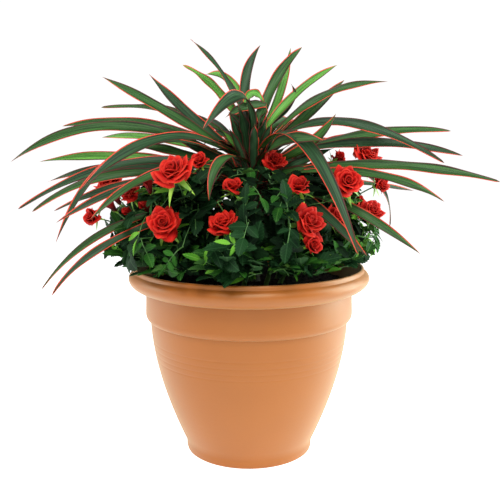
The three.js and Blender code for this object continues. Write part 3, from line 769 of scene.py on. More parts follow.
crownBlades = [
    # these spring from the hub, so their roots are heights over the stem
    blade(165, 14, 86, 562, 78, 0.52, width=13, roll=-22),
    blade(148, 12, 114, 533, 63, 0.57, width=14, roll=-35, tone="green"),
    blade(132, 10, 102, 523, 80, 0.78, width=13, tone="green"),
    blade(80, 20, 42, 556, 84, 0.6, width=14, sweep=30),
    blade(40, 14, 86, 556, 78, 0.57, tone="mid"),
    blade(62, 8, 116, 560, 38, 0.62, width=12, tone="green"),
    blade(28, 8, 131, 533, 61, 0.48, width=13, roll=45, tone="green"),
    blade(30, 24, 62, 503, 32, 1.0, width=7, roll=50),
    blade(0, 22, 16, 473, 88, 0.5, width=16, roll=72, early=0.7, taper=0.85, tone="mid", inner=True, lit=0),
    blade(180, 66, 34, 461, 8, 0.5, width=14, roll=-66, early=1, taper=0.45, start=-17, lit=1, tone="mid"),
    blade(20, 70, 14, 480, 62, 1, width=11, roll=70, early=1, start=-13, tone="green"),
    blade(190, 12, 30, 462, 74, 0.5, width=16, roll=-70, early=1, inner=True),
    blade(308, 10, 26, 464, 84, 0.55, width=14, inner=True),
    blade(262, 24, 14, 462, 84, 0.5, width=15, inner=True),
    blade(110, 6, 36, 492, 80, 0.5, width=16, tone="green"),
]
innerBlades = [
    # broad leaves that stand close round the stem, under the crown
    blade(196, 396, 32, 461, 76, 0.5, width=17, roll=-80, early=0.5),
    blade(212, 402, 22, 468, 82, 0.5, width=18, roll=-80, early=0.5),
    blade(240, 404, 14, 474, 84, 0.5, width=16, roll=-80, early=0.5),
    blade(205, 384, 46, 441, 68, 0.5, width=10, roll=-70, early=0.4, tone="green"),
    blade(225, 380, 40, 436, 66, 0.5, width=14, roll=-70, early=0.4),
    blade(290, 392, 22, 452, 80, 0.5, width=13, roll=70, early=0.4, tone="mid"),
    blade(330, 388, 44, 446, 60, 0.5, width=13, roll=70, early=0.4),
    blade(170, 372, 96, 424, 40, 0.5, width=14, roll=-60),
    blade(192, 360, 104, 408, 34, 0.5, width=14, roll=-60),
    blade(212, 366, 92, 398, 36, 0.5, width=13, roll=-55),
    blade(350, 366, 104, 416, 34, 0.5, width=14, roll=60),
    blade(334, 356, 110, 398, 30, 0.5, width=14, roll=60),
    blade(12, 372, 100, 422, 38, 0.5, width=14, roll=60),
    blade(318, 362, 92, 392, 34, 0.5, width=13, roll=55, tone="mid"),
]
basal = {
    "count": 46,
    "headingJitter": 9,
    "root": (300, 402),
    "reach": 104,
    "frontReach": 40,
    "reachShare": (0.75, 1.1),
    "rise": (34, 78),
    "launch": (58, 80),
    "bend": (0.5, 0.75),
    "width": (9, 13),
    "roll": (-60, 60),
    "tones": ("dark", "dark", "mid"),
    "seed": 23,
}
fan = {
    "headings": [56, 90, 124],
    "side": [0, -10, 10, -2],
    "root": 388,
    "rootDrop": 18,
    "reach": 165,
    "reachGain": 30,
    "tip": 458,
    "tipDrop": 34,
    "launch": 50,
    "launchDrop": 9,
    "bend": 0.62,
    "sheathRadius": 4,
}


def bladePath(shape, startDistance):
    axis = Vector((stem["x"], 0, 0))
    heading, slope = shape["heading"], math.radians(shape["launch"])
    start = polar(heading, startDistance, shape["root"]) + axis
    end = polar(heading, shape["reach"], shape["tip"]) + axis
    span = math.hypot(shape["reach"] - startDistance, shape["tip"] - shape["root"]) * shape["bend"]
    middle = polar(heading, startDistance + span * math.cos(slope), shape["root"] + span * math.sin(slope))
    return Arch(start, middle + axis + polar(heading + 90, shape.get("sweep", 0), 0), end)


def bladeWidth(share, width, taper=strap["taperStart"]):
    rise = mix(strap["rootShare"], 1, smooth(share, 0, strap["rootEnd"]))
    past = max(0, (share - taper) / (1 - taper))
    return width * rise * (1 - (1 - strap["tipSize"]) * past ** strap["taperPower"])


def bladeColumns(half, leftEdge, rightEdge):
    # places across the blade from one edge to the other, as shares of its half width
    return [-1, -1 + min(0.6, leftEdge / half), -0.5, 0, 0.5, 1 - min(0.6, rightEdge / half), 1]


def bladeEdges(shape, random):
    # finishes of the two edges, which pick between the lit copy of the red margin and a darker copy that
    # paints shade on it
    pick = random.random()
    bright, dull = bladeNumbers["bright"], bladeNumbers["dull"]
    if "lit" in shape:
        return [dull, bright] if shape["lit"] else [bright, dull]
    # a shaded leaf's edges are mostly the darker copy, painted shade
    if shape.get("inner"):
        return [dull, bright if pick > 0.7 else dull]
    return [bright if pick > 0.45 else dull, bright if pick < 0.5 else dull]


def addBlade(pile, shape, path, random):
    width = shape.get("width", strap["width"])
    roll = shape.get("roll", strap["frontRoll"] * math.cos(math.radians(shape["heading"])))
    early, taper = shape.get("early", 0), shape.get("taper", strap["taperStart"])
    tone = bladeNumbers[shape["tone"]]
    # a shaded leaf's underside takes the darkest top finish instead of the paler underside: painted shade
    under = shape.get("under", 0 if shape.get("inner") else bladeNumbers["under"])
    edges = bladeEdges(shape, random)
    edgeWidths = [strap["brightEdge" if edge == bladeNumbers["bright"] else "shadedEdgeWidth"] for edge in edges]
    phase, ripples = random.uniform(0, 6.3), random.uniform(2.2, 3.6)
    twist = strap["twist"] * random.uniform(-1, 1)
    level = polar(shape["heading"] + 90, 1, 0)
    length = path.length()
    points, places = [], []
    for row in range(strap["rows"] + 1):
        share = row / strap["rows"]
        ahead = path.ahead(share)
        normal = ahead.cross(level).normalized()
        sway = twist * math.sin(ripples * 2 * share + phase) * share
        turn = math.radians(roll * min(1, early + share * 2) + sway)
        sideways = level * math.cos(turn) + normal * math.sin(turn)
        facing = ahead.cross(sideways).normalized()
        spread = bladeWidth(share, width, taper)
        ripple = strap["wave"] * math.sin(ripples * 6.3 * share + phase) * smooth(share, 0.1, 0.5)
        columns = bladeColumns(spread / 2, *edgeWidths)
        for over, ordered in ((1, columns), (-1, columns[::-1])):
            for across in ordered:
                thick = mix(strap["thickness"], strap["edgeThickness"], abs(across))
                thick *= 0.4 + 0.6 * spread / width
                lift = abs(across) ** 1.3 * strap["fold"] * spread + ripple * across + over * thick / 2
                points.append(path.at(share) + sideways * (across * spread / 2) + facing * lift)
                places.append((across * 0.5 + 0.5, share * length / 100))
    points.append(path.at(1) + path.ahead(1) * strap["point"])
    places.append((0.5, length / 100))
    faces, finishes = bladeSkin(2 * len(columns), tone, under, edges)
    pile.add(points, faces, finishes, places)


def bladeSkin(strips, tone, under, edges):
    # faces and finishes of a blade's rings, its pointed tip and the cap at its root
    rows = strap["rows"]
    faces = []
    for row in range(rows):
        low, high = row * strips, (row + 1) * strips
        for k in range(strips):
            after = (k + 1) % strips
            faces.append((low + k, high + k, high + after, low + after))
    last, tip = rows * strips, (rows + 1) * strips
    faces += [(last + k, tip, last + (k + 1) % strips) for k in range(strips)]
    faces.append(tuple(range(strips)))
    ring = [bladeFinish(k, tone, under, edges) for k in range(strips)]
    return faces, ring * (rows + 1) + [bladeNumbers["under"]]


def bladeFinish(strip, tone, under, edges):
    # strips 0 to 5 lie on top, 6 is one edge, 7 to 12 lie underneath, 13 is the other edge
    if strip in (0, 12, 13):
        return edges[0]
    if strip in (5, 6, 7):
        return edges[1]
    return tone if strip < 6 else under


def rootDistance(shape):
    share = (shape["root"] - soil["top"]) / (stem["top"] - soil["top"])
    return mix(stem["footRadius"], stem["topRadius"], share) - 1


def sidePaths(shapes):
    return [(shape, bladePath(shape, rootDistance(shape))) for shape in shapes]


def crownPaths():
    raised = [{**shape, "root": stem["top"] + gap + shape["root"]} for shape in crownBlades]
    return [(shape, bladePath(shape, shape.get("start", hub["tipRadius"] - 1))) for shape in raised]


def fanPaths(heading):
    paths = []
    for i, side in enumerate(fan["side"]):
        shape = blade(
            heading + side,
            fan["root"] - fan["rootDrop"] * i,
            fan["reach"] + fan["reachGain"] * i,
            fan["tip"] - fan["tipDrop"] * i,
            fan["launch"] - fan["launchDrop"] * i,
            fan["bend"],
        )
        paths.append((shape, bladePath(shape, stem["footRadius"] + fan["sheathRadius"])))
    return paths


def makeBlades(name, paths, nodes, seed, extra=None):
    random = Random(strap["seed"] + seed)
    pile = Pile()
    for shape, path in paths:
        addBlade(pile, shape, path, random)
    if extra:
        pile.add(extra.points, extra.faces, len(bladeFinishes))
    mesh = meshFrom(name, pile, [*bladeFinishes, stalkFinish], 50)
    settle(linked(name, mesh), nodes)


def ringedStem(foot, top, footRadius, topRadius, centre):
    # each leaf scar leaves a low ring
    profile = [(0, foot)]
    ringSteps = stem["ringSteps"]
    steps = int((top - foot) / (stem["ringSpacing"] / ringSteps))
    for i in range(steps + 1):
        height = mix(foot, top, i / steps)
        ring = stem["ringHeight"] * (i % ringSteps) / (ringSteps - 1)
        profile.append((mix(footRadius, topRadius, i / steps) - ring, height))
    profile.append((0, top))
    return lathe(profile, stem["segments"], centre)


leftPaths, rightPaths, tuftPaths = sidePaths(leftBlades), sidePaths(rightBlades), crownPaths()
fanSets = [fanPaths(heading) for heading in fan["headings"]]


def basalPaths():
    # short leaves that stand round the stem under the arching ones
    random = Random(basal["seed"])
    # all these leaves count as shaded ones: painted shade darkens their undersides and most of their edges
    paths = sidePaths([{**shape, "inner": True} for shape in innerBlades])
    for i in range(basal["count"]):
        heading = 360 * i / basal["count"] + basal["headingJitter"] * random.uniform(-1, 1)
        root = random.uniform(*basal["root"])
        front = 0.5 - 0.5 * math.sin(math.radians(heading))
        reach = mix(basal["reach"], basal["frontReach"], front) * random.uniform(*basal["reachShare"])
        shape = blade(
            heading,
            root,
            reach,
            root + random.uniform(*basal["rise"]),
            random.uniform(*basal["launch"]),
            random.uniform(*basal["bend"]),
            width=random.uniform(*basal["width"]),
            roll=random.uniform(*basal["roll"]),
            tone=random.choice(basal["tones"]),
            inner=True,
        )
        paths.append((shape, bladePath(shape, rootDistance(shape))))
    return paths


def makeSheaths():
    sheaths = Pile()
    lowest = fan["root"] - fan["rootDrop"] * (len(fan["side"]) - 1) - 8
    for heading in fan["headings"]:
        place = polar(heading, stem["footRadius"] + gap + fan["sheathRadius"], 0)
        spot = (place.x + stem["x"], place.y)
        sheath = ringedStem(lowest, fan["root"] + 6, fan["sheathRadius"], fan["sheathRadius"] - 1, spot)
        sheaths.add(sheath.points, sheath.faces)
    return sheaths


def makeStrapPlant():
    centre = (stem["x"], 0)
    stalk = ringedStem(soil["top"] + gap, stem["top"], stem["footRadius"], stem["topRadius"], centre)
    stalkMesh = meshFrom("strap_stalk", stalk, [stalkFinish])
    settle(linked("strap_stalk", stalkMesh), ["strap_stem"])
    left = len(leftBlades)
    names = [f"strap_leaf_{i + 1:02d}" for i in range(left + len(rightBlades))]
    makeBlades("strap_leaves_left", leftPaths, names[:left], 0)
    makeBlades("strap_basal", basalPaths(), ["strap_stem"], 4)
    makeBlades("strap_leaves_right", rightPaths, names[left:], 1)
    base = stem["top"] + gap
    crownHub = ringedStem(base, base + hub["height"], hub["radius"], hub["tipRadius"], centre)
    makeBlades("strap_crown", tuftPaths, ["crown_tuft"], 2, crownHub)
    fans = [pair for paths in fanSets for pair in paths]
    fanNames = [f"strap_fan_{i + 1}" for i in range(len(fanSets))]
    makeBlades("strap_fans", fans, fanNames, 3, makeSheaths())


makeStrapPlant()
print("strap leaves made")


# Rose bush: canes out of the soil, twigs that branch from them, sprays of leaves, and blooms

massEdges = [155, 200, 246, 279, 320, 363, 413, 463, 515]  # headings between the masses
cane = {"foot": 42, "tip": 60, "top": 266, "footRadius": 3.4, "tipRadius": 2.7}
massStem = {"reach": 108, "height": 312, "footRadius": 2.7, "tipRadius": 1.9}
dome = {
    "radius": 186,
    "base": 302,
    "rise": 106,
    "lowest": 260,
    "rimClear": 264,  # lowest place from rimReach outwards, over the pot's rim
    "rimReach": 145,
    "limit": 1.1,  # how far leaves may reach, as a share of the dome
    "rightReach": 150,  # the right side spreads and hangs less
    "rightLift": 0.65,
    "rightSqueeze": 1.09,
}
twigs = {
    "seed": 4117,
    # slope of each row's place on the dome, its share of the dome's radius, where on the mass's
    # stem its twigs start, and the degrees between two twigs. A deep row has mostly the darkest leaves,
    # painted shade inside the bush; a flat one leaves that lie level, and turned swings the leaves' faces
    # round, in degrees.
    # A row may keep to one kind of leaf or to some of the masses
    "rows": [
        {"rise": -17, "share": 0.56, "start": 0.15, "spacing": 18, "deep": True},
        {"rise": -18, "share": 0.78, "start": 0.1, "spacing": 11},
        {"rise": -12, "share": 0.72, "start": 0.3, "spacing": 13, "deep": True},
        {"rise": -15, "share": 0.88, "start": 0.3, "spacing": 17},
        {"rise": 1, "share": 1, "start": 0.5, "spacing": 15},
        {"rise": 4, "share": 0.78, "start": 0.4, "spacing": 11, "deep": True},
        {"rise": 10, "share": 0.52, "start": 0.5, "spacing": 14, "deep": True},
        {"rise": 22, "share": 1, "start": 0.7, "spacing": 15},
        {"rise": 32, "share": 0.78, "start": 0.7, "spacing": 11, "deep": True},
        {"rise": 46, "share": 1, "start": 0.95, "spacing": 16},
        {"rise": 56, "share": 0.75, "start": 0.9, "spacing": 13, "deep": True},
        {"rise": 72, "share": 0.9, "start": 0.95, "spacing": 18, "deep": True},
        {"rise": -18, "share": 0.74, "start": 0.15, "spacing": 9, "flat": True},
        {"rise": -19, "share": 0.86, "start": 0.2, "spacing": 7, "flat": True},
        {"rise": -17, "share": 0.8, "start": 0.2, "spacing": 6, "flat": True, "masses": (2, 3)},
        {
            "rise": -12,
            "share": 1.04,
            "start": 0.6,
            "spacing": 9,
            "turned": 65,
            "kind": "dark",
            "masses": (0,),
        },
        {"rise": -5, "share": 1.05, "start": 0.6, "spacing": 8, "turned": 65, "masses": (0,)},
        {"rise": -3, "share": 0.98, "start": 0.6, "spacing": 10, "turned": -65, "masses": (5,)},
    ],
    "jitter": 4,
    "tries": 16,
    "radius": 1.1,
    "tipRadius": 0.7,
    "arch": 0.14,  # how far a twig bows upwards, as a share of its length
    "reach": 0.88,
    "rootSpread": 0.1,
    "steps": 7,
}
spray = {
    "shares": [0.5, 0.68, 0.84],  # where side sprays leave a twig
    "shareJitter": 0.06,
    "turn": 80,  # of side sprays, from hanging straight down
    "swing": 65,  # how far leaves turn from hanging straight down, wider with each try
    "swingGain": 0.3,
    "stand": 0.55,  # how far leaves stand off the dome
    "standShare": (-0.6, 1.4),
    "lift": 0.4,  # how far faces look up
    "flatLift": 6,
    "tries": 6,
    "stalk": 29,
    "stalkRadius": 0.55,
    "stalkTip": 0.45,
    "stalkBow": 1.2,
    "pairs": [0.3, 0.76],
    "pairRaise": 0.8,
    "spread": 68,
    "tilt": 0.8,
    "apart": 7.5,  # least distance between the middles of two leaves
    "most": 6000,  # room for this many leaves
    "size": (0.8, 1.15),
    "pairSize": (0.62, 0.85),
    "pairSpread": 12,
    "pairLift": (-0.25, 0.3),
    # share of painted-shade leaves in a deep row
    "deepShadeShare": 0.9,
    # past litSide, where the right lamp lights the bush most, the leaves are of the lighter kinds: partly
    # young leaves, partly painted light
    "litSide": 118,  # past this X all leaves are light ones
    "litKinds": ("mid", "young"),
}
leafKinds = {
    # widths are shares of the length
    "dark": {"length": 31, "width": 0.58, "chance": 0.5},
    "mid": {"length": 26, "width": 0.46, "chance": 0.34},
    "young": {"length": 22, "width": 0.36, "chance": 0.16},
    # the darkest leaves, painted shade inside the bush; only deep rows take them
    "deep": {"length": 29, "width": 0.5, "chance": 0},
}


clearance = {
    # balls along a blade
    "bladeStep": 6,
    "bladeShare": 0.75,
    "bladeMargin": 1,
    # balls at a bloom: how far they lie along its face, how far outwards, and their radius, all
    # as shares of its size
    "atBloom": [(0, 0, 0.5), (0.5, 0, 0.45), (0, 0.55, 0.5), (0, 1, 0.45)],
}


def massHeading(index):
    return (massEdges[index] + massEdges[index + 1]) / 2


class Balls:
    # round spaces that twigs and leaves stay out of
    def __init__(self, balls):
        self.centres = np.array([list(centre) for centre, _ in balls])
        self.radii = np.array([radius for _, radius in balls])

    def clear(self, point, radius):
        away = ((self.centres - np.array(point)) ** 2).sum(1)
        return bool((away > (self.radii + radius) ** 2).all())


def bladeBalls(paths):
    balls = []
    for shape, path in paths:
        count = math.ceil(path.length() / clearance["bladeStep"])
        for i in range(count + 1):
            half = bladeWidth(i / count, shape.get("width", strap["width"])) / 2
            radius = half * clearance["bladeShare"] + clearance["bladeMargin"]
            balls.append((path.at(i / count), radius))
    return balls


def massSpace(index):
    start, end = (math.radians(edge) for edge in massEdges[index:index + 2])

    def holds(point):
        pastFirst = point.y * math.cos(start) - point.x * math.sin(start)
        beforeLast = point.x * math.sin(end) - point.y * math.cos(end)
        distance = math.hypot(point.x, point.y)
        lowest = dome["rimClear"] if distance > dome["rimReach"] else dome["lowest"]
        if point.x > 0:
            lowest += dome["rightLift"] * max(0, distance - dome["rightReach"])
            distance *= dome["rightSqueeze"]
        rise = max(0, point.z - dome["base"]) / dome["rise"]
        inside = math.hypot(distance / dome["radius"], rise) < dome["limit"]
        return pastFirst > gap and beforeLast > gap and point.z > lowest and inside

    return holds


def leafPose(random, origin, turn, attempt, row):
    # along the dome's skin, turned from hanging straight down, with the face outwards and up
    radius, rise = dome["radius"], dome["rise"]
    facing = Vector((origin.x / radius**2, origin.y / radius**2, (origin.z - dome["base"]) / rise**2))
    facing.normalize()
    facing.z = spray["flatLift"] if row.get("flat") else facing.z + spray["lift"]
    facing.rotate(Matrix.Rotation(math.radians(row.get("turned", 0)), 3, "Z"))
    facing.normalize()
    across = Vector((-facing.y, facing.x, 0)).normalized()
    down = -facing.cross(across)
    swing = spray["swing"] * (1 + spray["swingGain"] * attempt)
    angle = math.radians(turn + swing * random.uniform(-1, 1))
    direction = down * math.cos(angle) + across * math.sin(angle)
    direction += facing * spray["stand"] * random.uniform(*spray["standShare"])
    return direction.normalized(), facing


class Growth:
    # everything that grows on the bush, gathered by kind
    def __init__(self, blocked):
        self.blocked = blocked
        self.canes, self.twigs, self.leaves = [], [], {kind: [] for kind in leafKinds}
        self.taken = np.zeros((spray["most"], 3))
        self.count = 0

    def crowded(self, point):
        away = ((self.taken[: self.count] - np.array(point)) ** 2).sum(1)
        return bool((away < spray["apart"] ** 2).any())

    def take(self, point):
        self.taken[self.count] = point
        self.count += 1


def turnTo(direction, facing):
    side = facing.cross(direction).normalized()
    return Matrix((direction, side, direction.cross(side))).transposed().to_quaternion()


def addLeaf(growth, holds, random, origin, direction, facing, kind, size):
    length = leafKinds[kind]["length"] * size
    half = length * leafKinds[kind]["width"] / 2
    side = facing.cross(direction).normalized() * half
    middle = origin + direction * length * 0.5
    tip = origin + direction * length
    if not all(holds(point) for point in (middle + side, middle - side, tip)):
        return False
    blocked = growth.blocked
    if not (blocked.clear(middle, half * 0.8) and blocked.clear(tip, 1) and blocked.clear(origin, 1)):
        return False
    if growth.crowded(middle):
        return False
    growth.take(middle)
    tilted = facing + side.normalized() * spray["tilt"] * random.uniform(-1, 1)
    tilted = (tilted + direction * spray["tilt"] * random.uniform(-0.5, 0.5)).normalized()
    growth.leaves[kind].append((origin, turnTo(direction, tilted), length))
    return True


def chooseKind(random):
    pick = random.random()
    for kind, shape in leafKinds.items():
        if pick < shape["chance"]:
            return kind
        pick -= shape["chance"]
    return kind


def kindFor(random, origin, row):
    if "kind" in row:
        return row["kind"]
    # lighter kinds on the lit right side: partly young leaves, partly painted light
    if origin.x > spray["litSide"]:
        return random.choice(spray["litKinds"])
    # most leaves of a deep row are the darkest ones, painted shade
    if row.get("deep") and random.random() < spray["deepShadeShare"]:
        return "deep"
    return chooseKind(random)


def growSpray(growth, holds, random, origin, turn, row):
    # a leaf stalk with one leaflet at its end and pairs along it
    kind = kindFor(random, origin, row)
    size = random.uniform(*spray["size"])
    for attempt in range(spray["tries"]):
        direction, facing = leafPose(random, origin, turn, attempt, row)
        end = origin + direction * spray["stalk"] * size
        if not holds(end) or not growth.blocked.clear(end, 1):
            continue
        if not addLeaf(growth, holds, random, end, direction, facing, kind, size):
            continue
        stalk = [origin, origin.lerp(end, 0.5) + facing * spray["stalkBow"], end]
        growth.twigs.append((stalk, spray["stalkRadius"], spray["stalkTip"]))
        side = facing.cross(direction).normalized()
        for share in spray["pairs"]:
            for way in (-1, 1):
                angle = math.radians(spray["spread"] + spray["pairSpread"] * random.uniform(-1, 1))
                aside = (direction * math.cos(angle) + side * way * math.sin(angle)).normalized()
                aside = (aside + facing * random.uniform(*spray["pairLift"])).normalized()
                foot = origin.lerp(end, share) + facing * spray["pairRaise"]
                pairSize = size * random.uniform(*spray["pairSize"])
                addLeaf(growth, holds, random, foot, aside, facing, kind, pairSize)
        return True
    return False


def growTwig(growth, holds, random, row, aim, foot, tip):
    rise = math.radians(row["rise"] + twigs["jitter"] * random.uniform(-1, 1))
    distance = dome["radius"] * row["share"] * math.cos(rise)
    place = polar(aim, distance, dome["base"] + dome["rise"] * math.sin(rise))
    root = foot.lerp(tip, row["start"] - twigs["rootSpread"] * random.random())
    end = root.lerp(place, twigs["reach"])
    bow = Vector((0, 0, twigs["arch"] * (end - root).length))
    arch = Arch(root, root.lerp(end, 0.5) + bow, end)
    track = arch.points(twigs["steps"])
    if not all(holds(point) and growth.blocked.clear(point, 1) for point in track[1:]):
        return False
    if not growSpray(growth, holds, random, end, 0, row):
        return False
    growth.twigs.append((track, twigs["radius"], twigs["tipRadius"]))
    way = random.choice((-1, 1))
    for share in spray["shares"]:
        side = arch.at(share - spray["shareJitter"] * random.random())
        growSpray(growth, holds, random, side, way * spray["turn"], row)
        way = -way
    return True


def growTwigs(growth, index, foot, tip):
    random = Random(twigs["seed"] + index)
    holds = massSpace(index)
    first = massEdges[index]
    width = massEdges[index + 1] - first
    for row in twigs["rows"]:
        if index not in row.get("masses", range(len(massEdges))):
            continue
        columns = max(1, round(width / row["spacing"]))
        for column in range(columns):
            for _ in range(twigs["tries"]):
                aim = first + width * (column + 0.5) / columns + twigs["jitter"] * random.uniform(-1, 1)
                if growTwig(growth, holds, random, row, aim, foot, tip):
                    break


# Blooms

def bloom(heading, distance, height, size, lift=22, turn=0):
    # lift raises the bloom's face from level, turn swings it round, both in degrees
    place = {"heading": heading, "distance": distance, "height": height, "size": size}
    return {**place, "lift": lift, "turn": turn}


blooms = [
    bloom(177, 196, 369, 46, lift=55, turn=20),
    bloom(198, 163, 362, 33, lift=38, turn=30),
    bloom(191, 210, 328, 26, lift=15, turn=40),
    bloom(193, 184, 342, 13, lift=50),
    bloom(197, 178, 352, 12, lift=60),
    bloom(200, 166, 336, 13, lift=30, turn=20),
    bloom(219, 158, 372, 15, lift=70),
    bloom(236, 160, 391, 50, lift=48, turn=10),
    bloom(230, 96, 402, 23, lift=40, turn=20),
    bloom(231, 162, 329, 45, lift=28, turn=35),
    bloom(207, 146, 344, 17, lift=50),
    bloom(256, 131, 329, 42, lift=62, turn=-8),
    bloom(259, 102, 371, 27, lift=62, turn=10),
    bloom(315, 48, 402, 37, lift=45, turn=-20),
    bloom(299, 126, 372, 28, lift=50, turn=-40),
    bloom(301, 140, 330, 50, lift=34, turn=8),
    bloom(300, 152, 303, 24, lift=16),
    bloom(327, 130, 332, 27, lift=35),
    bloom(325, 150, 377, 42, lift=25, turn=-45),
    bloom(344, 167, 337, 38, lift=35, turn=-40),
    bloom(351, 158, 409, 44, lift=55, turn=-40),
    bloom(358, 178, 369, 26, lift=20, turn=-40),
    bloom(372, 128, 402, 30),
    bloom(384, 174, 336, 44),
    bloom(402, 148, 357, 36),
    bloom(404, 176, 314, 28),
    bloom(424, 160, 340, 46),
    bloom(438, 152, 354, 38),
    bloom(452, 178, 358, 30),
    bloom(472, 150, 352, 44),
    bloom(484, 176, 324, 34),
    bloom(505, 122, 384, 30),
    bloom(505, 182, 352, 40),
]
head = {
    "rows": 7,
    "columns": 8,
    "thickness": 0.018,
    "fullness": 1.19,
    "base": -0.42,
    "seed": 907,
    "forms": {
        # petals, how open the outermost one is and how many variants are made
        "open": {"petals": 27, "open": 1.0, "variants": 4},
        "half": {"petals": 16, "open": 0.62, "variants": 2},
        "bud": {"petals": 8, "open": 0.22, "variants": 1},
    },
    "openFrom": 33,  # blooms of this size and over are fully open
    "budBelow": 20,
}
petal = {
    # each pair runs from the heart to an outer petal of an open bloom
    "base": (22, 84),  # slopes from upright along a petal, in degrees
    "middle": (-4, 56),
    "tip": (-14, 112),
    "length": (0.7, 1.2),
    "pointed": (0.16, 0.46),
    "start": (0.03, 0.08),
    "half": (0.4, 0.7),  # half the width
    "wrap": (2.0, 0.92),  # the most that a petal wraps round, in radians
    "lap": (0.24, 0.06),  # how far one side lies outside the other
    "rootWidth": 0.4,
    "fullFrom": 0.66,
    "narrowest": 0.16,
    "roll": 95,  # how far a petal's sides roll back, in degrees
    "crumple": 0.08,
    "slopeJitter": 13,
    "lengthJitter": (0.9, 1.08),
    "turnJitter": 14,
    "spiral": 137.5,  # degrees between one petal and the next
}
sepal = {
    "count": 5,
    "length": 1.05,
    "lengthJitter": (0.8, 1.15),
    "width": 0.26,
    "shape": [(0.0, 0.5), (0.25, 1.0), (0.6, 0.62), (0.85, 0.25)],  # its width at shares of its length
    "thick": 0.05,
    "curl": (-0.5, 0.1),
    "turnJitter": 14,
    "rise": (-35, 62),  # of an open bloom's sepals and of a bud's
    "riseJitter": 22,
    "foot": (0.13, -0.04),
}
# radii and heights of the round hip, from a bloom's base
hip = [(0, -0.3), (0.1, -0.28), (0.17, -0.18), (0.19, -0.06), (0.12, 0.02), (0, 0.03)]
bloomStalk = {
    "roots": (0.3, 0.98),  # lowest and highest place on the mass's stem, as shares of it
    "under": 0.36,
    "bow": 0.45,
    "steps": 9,
    "radius": 1.2,
    "tipRadius": 0.9,
}


def bloomCentre(setting):
    return polar(setting["heading"], setting["distance"], setting["height"])


def bloomFacing(setting):
    lift = math.radians(setting["lift"])
    flat = polar(setting["heading"] + setting["turn"], math.cos(lift), 0)
    return flat + Vector((0, 0, math.sin(lift)))


def slopeAlong(share, base, middle, tip):
    # passes through three angles at the petal's base, middle and tip
    ends = base * (1 - share) * (1 - 2 * share) + tip * share * (2 * share - 1)
    return ends + middle * 4 * share * (1 - share)


def petalGrid(order, count, form, random):
    # a petal as part of a turned cup; order 0 is the heart and grows to the outermost
    openness = form["open"] * (order + 0.6) / count
    rows, columns = head["rows"], head["columns"]
    stations = np.linspace(0, 1, rows + 1), np.linspace(-1, 1, columns + 1)
    reach, across = np.meshgrid(*stations, indexing="ij")
    jitter = petal["slopeJitter"] * random.uniform(-1, 1) * openness
    base = mix(*petal["base"], openness)
    middle = mix(*petal["middle"], openness**1.1) + jitter
    tip = mix(*petal["tip"], openness**0.9) + jitter * 1.4
    slope = slopeAlong(reach, base, middle, tip) + petal["roll"] * openness**0.7 * across**2 * reach**2
    length = mix(*petal["length"], openness) * random.uniform(*petal["lengthJitter"])
    step = length * (1 - mix(*petal["pointed"], openness) * np.abs(across) ** 1.15) / rows
    between = np.radians((slope[1:] + slope[:-1]) / 2)
    out, up = np.zeros_like(slope), np.zeros_like(slope)
    out[1:] = np.cumsum(np.sin(between) * step[1:], axis=0)
    up[1:] = np.cumsum(np.cos(between) * step[1:], axis=0)
    radius = out + mix(*petal["start"], openness)
    full = np.sin(np.minimum(1, reach / petal["fullFrom"]) * math.pi / 2)
    half = mix(*petal["half"], openness) * mix(petal["rootWidth"], 1, full)
    wrap = mix(*petal["wrap"], openness)
    turn = np.clip(half * across / np.maximum(radius, petal["narrowest"]), -wrap, wrap)
    radius = radius * (1 + mix(*petal["lap"], openness) * across)
    phase = random.uniform(0, 6.3)
    up = up + petal["crumple"] * openness * np.sin(5 * across + 3 * reach + phase) * reach**2
    degrees = petal["spiral"] * order + petal["turnJitter"] * random.uniform(-1, 1)
    angle = math.radians(degrees) + turn
    points = np.stack([radius * np.cos(angle), radius * np.sin(angle), head["base"] + up], axis=-1)
    return points.reshape(-1, 3)


def headMesh(name, form, seed):
    random = Random(seed)
    count = form["petals"]
    grids = [petalGrid(order, count, form, random) for order in range(count)]
    everything = np.concatenate(grids)
    widest = np.hypot(everything[:, 0], everything[:, 1]).max()
    columns = head["columns"] + 1
    cells = [(row, column) for row in range(head["rows"] + 1) for column in range(columns)]
    places = [(column / head["columns"], row / head["rows"]) for row, column in cells]
    pile = Pile()
    for order, points in enumerate(grids):
        points = points / widest
        faces = []
        for row in range(head["rows"]):
            for column in range(head["columns"]):
                corner = row * columns + column
                faces.append((corner, corner + 1, corner + columns + 1, corner + columns))
        # petals nearer the heart take the darker finishes, painted shade deep in the bloom; a less open
        # head leans to the darker ones throughout
        finish = min(2, int(3 * order / count * form["open"] + 0.4))
        pile.add(points.tolist(), faces, finish, places)
    mesh = meshFrom(name, pile, [], 60, 1)
    holder = linked(name, mesh)
    shell = holder.modifiers.new("shell", "SOLIDIFY")
    shell.thickness = head["thickness"]
    shell.offset = 0
    depsgraph = bpy.context.evaluated_depsgraph_get()
    made = bpy.data.meshes.new_from_object(holder.evaluated_get(depsgraph), depsgraph=depsgraph)
    bpy.data.objects.remove(holder)
    return made, head["base"] / widest


def addSepal(pile, foot, direction, facing, length, curl):
    # a thin pointed leaf of few faces, thickest along its middle
    side = facing.cross(direction).normalized()
    width, stations, thick = sepal["width"], sepal["shape"], sepal["thick"]
    points = []
    for share, spread in stations:
        middle = foot + direction * length * share + facing * curl * length * share**2
        for offset, lift in ((-spread, 0), (0, thick), (spread, 0), (0, -thick)):
            points.append(middle + side * offset * width / 2 + facing * lift * width)
    points.append(foot + direction * length + facing * curl * length)
    faces = [(3, 2, 1, 0)]
    for station in range(len(stations) - 1):
        for k in range(4):
            low, high = station * 4, station * 4 + 4
            after = (k + 1) % 4
            faces.append((low + k, low + after, high + after, high + k))
    last = 4 * (len(stations) - 1)
    faces += [(last + k, last + (k + 1) % 4, len(points) - 1) for k in range(4)]
    pile.add(points, faces)


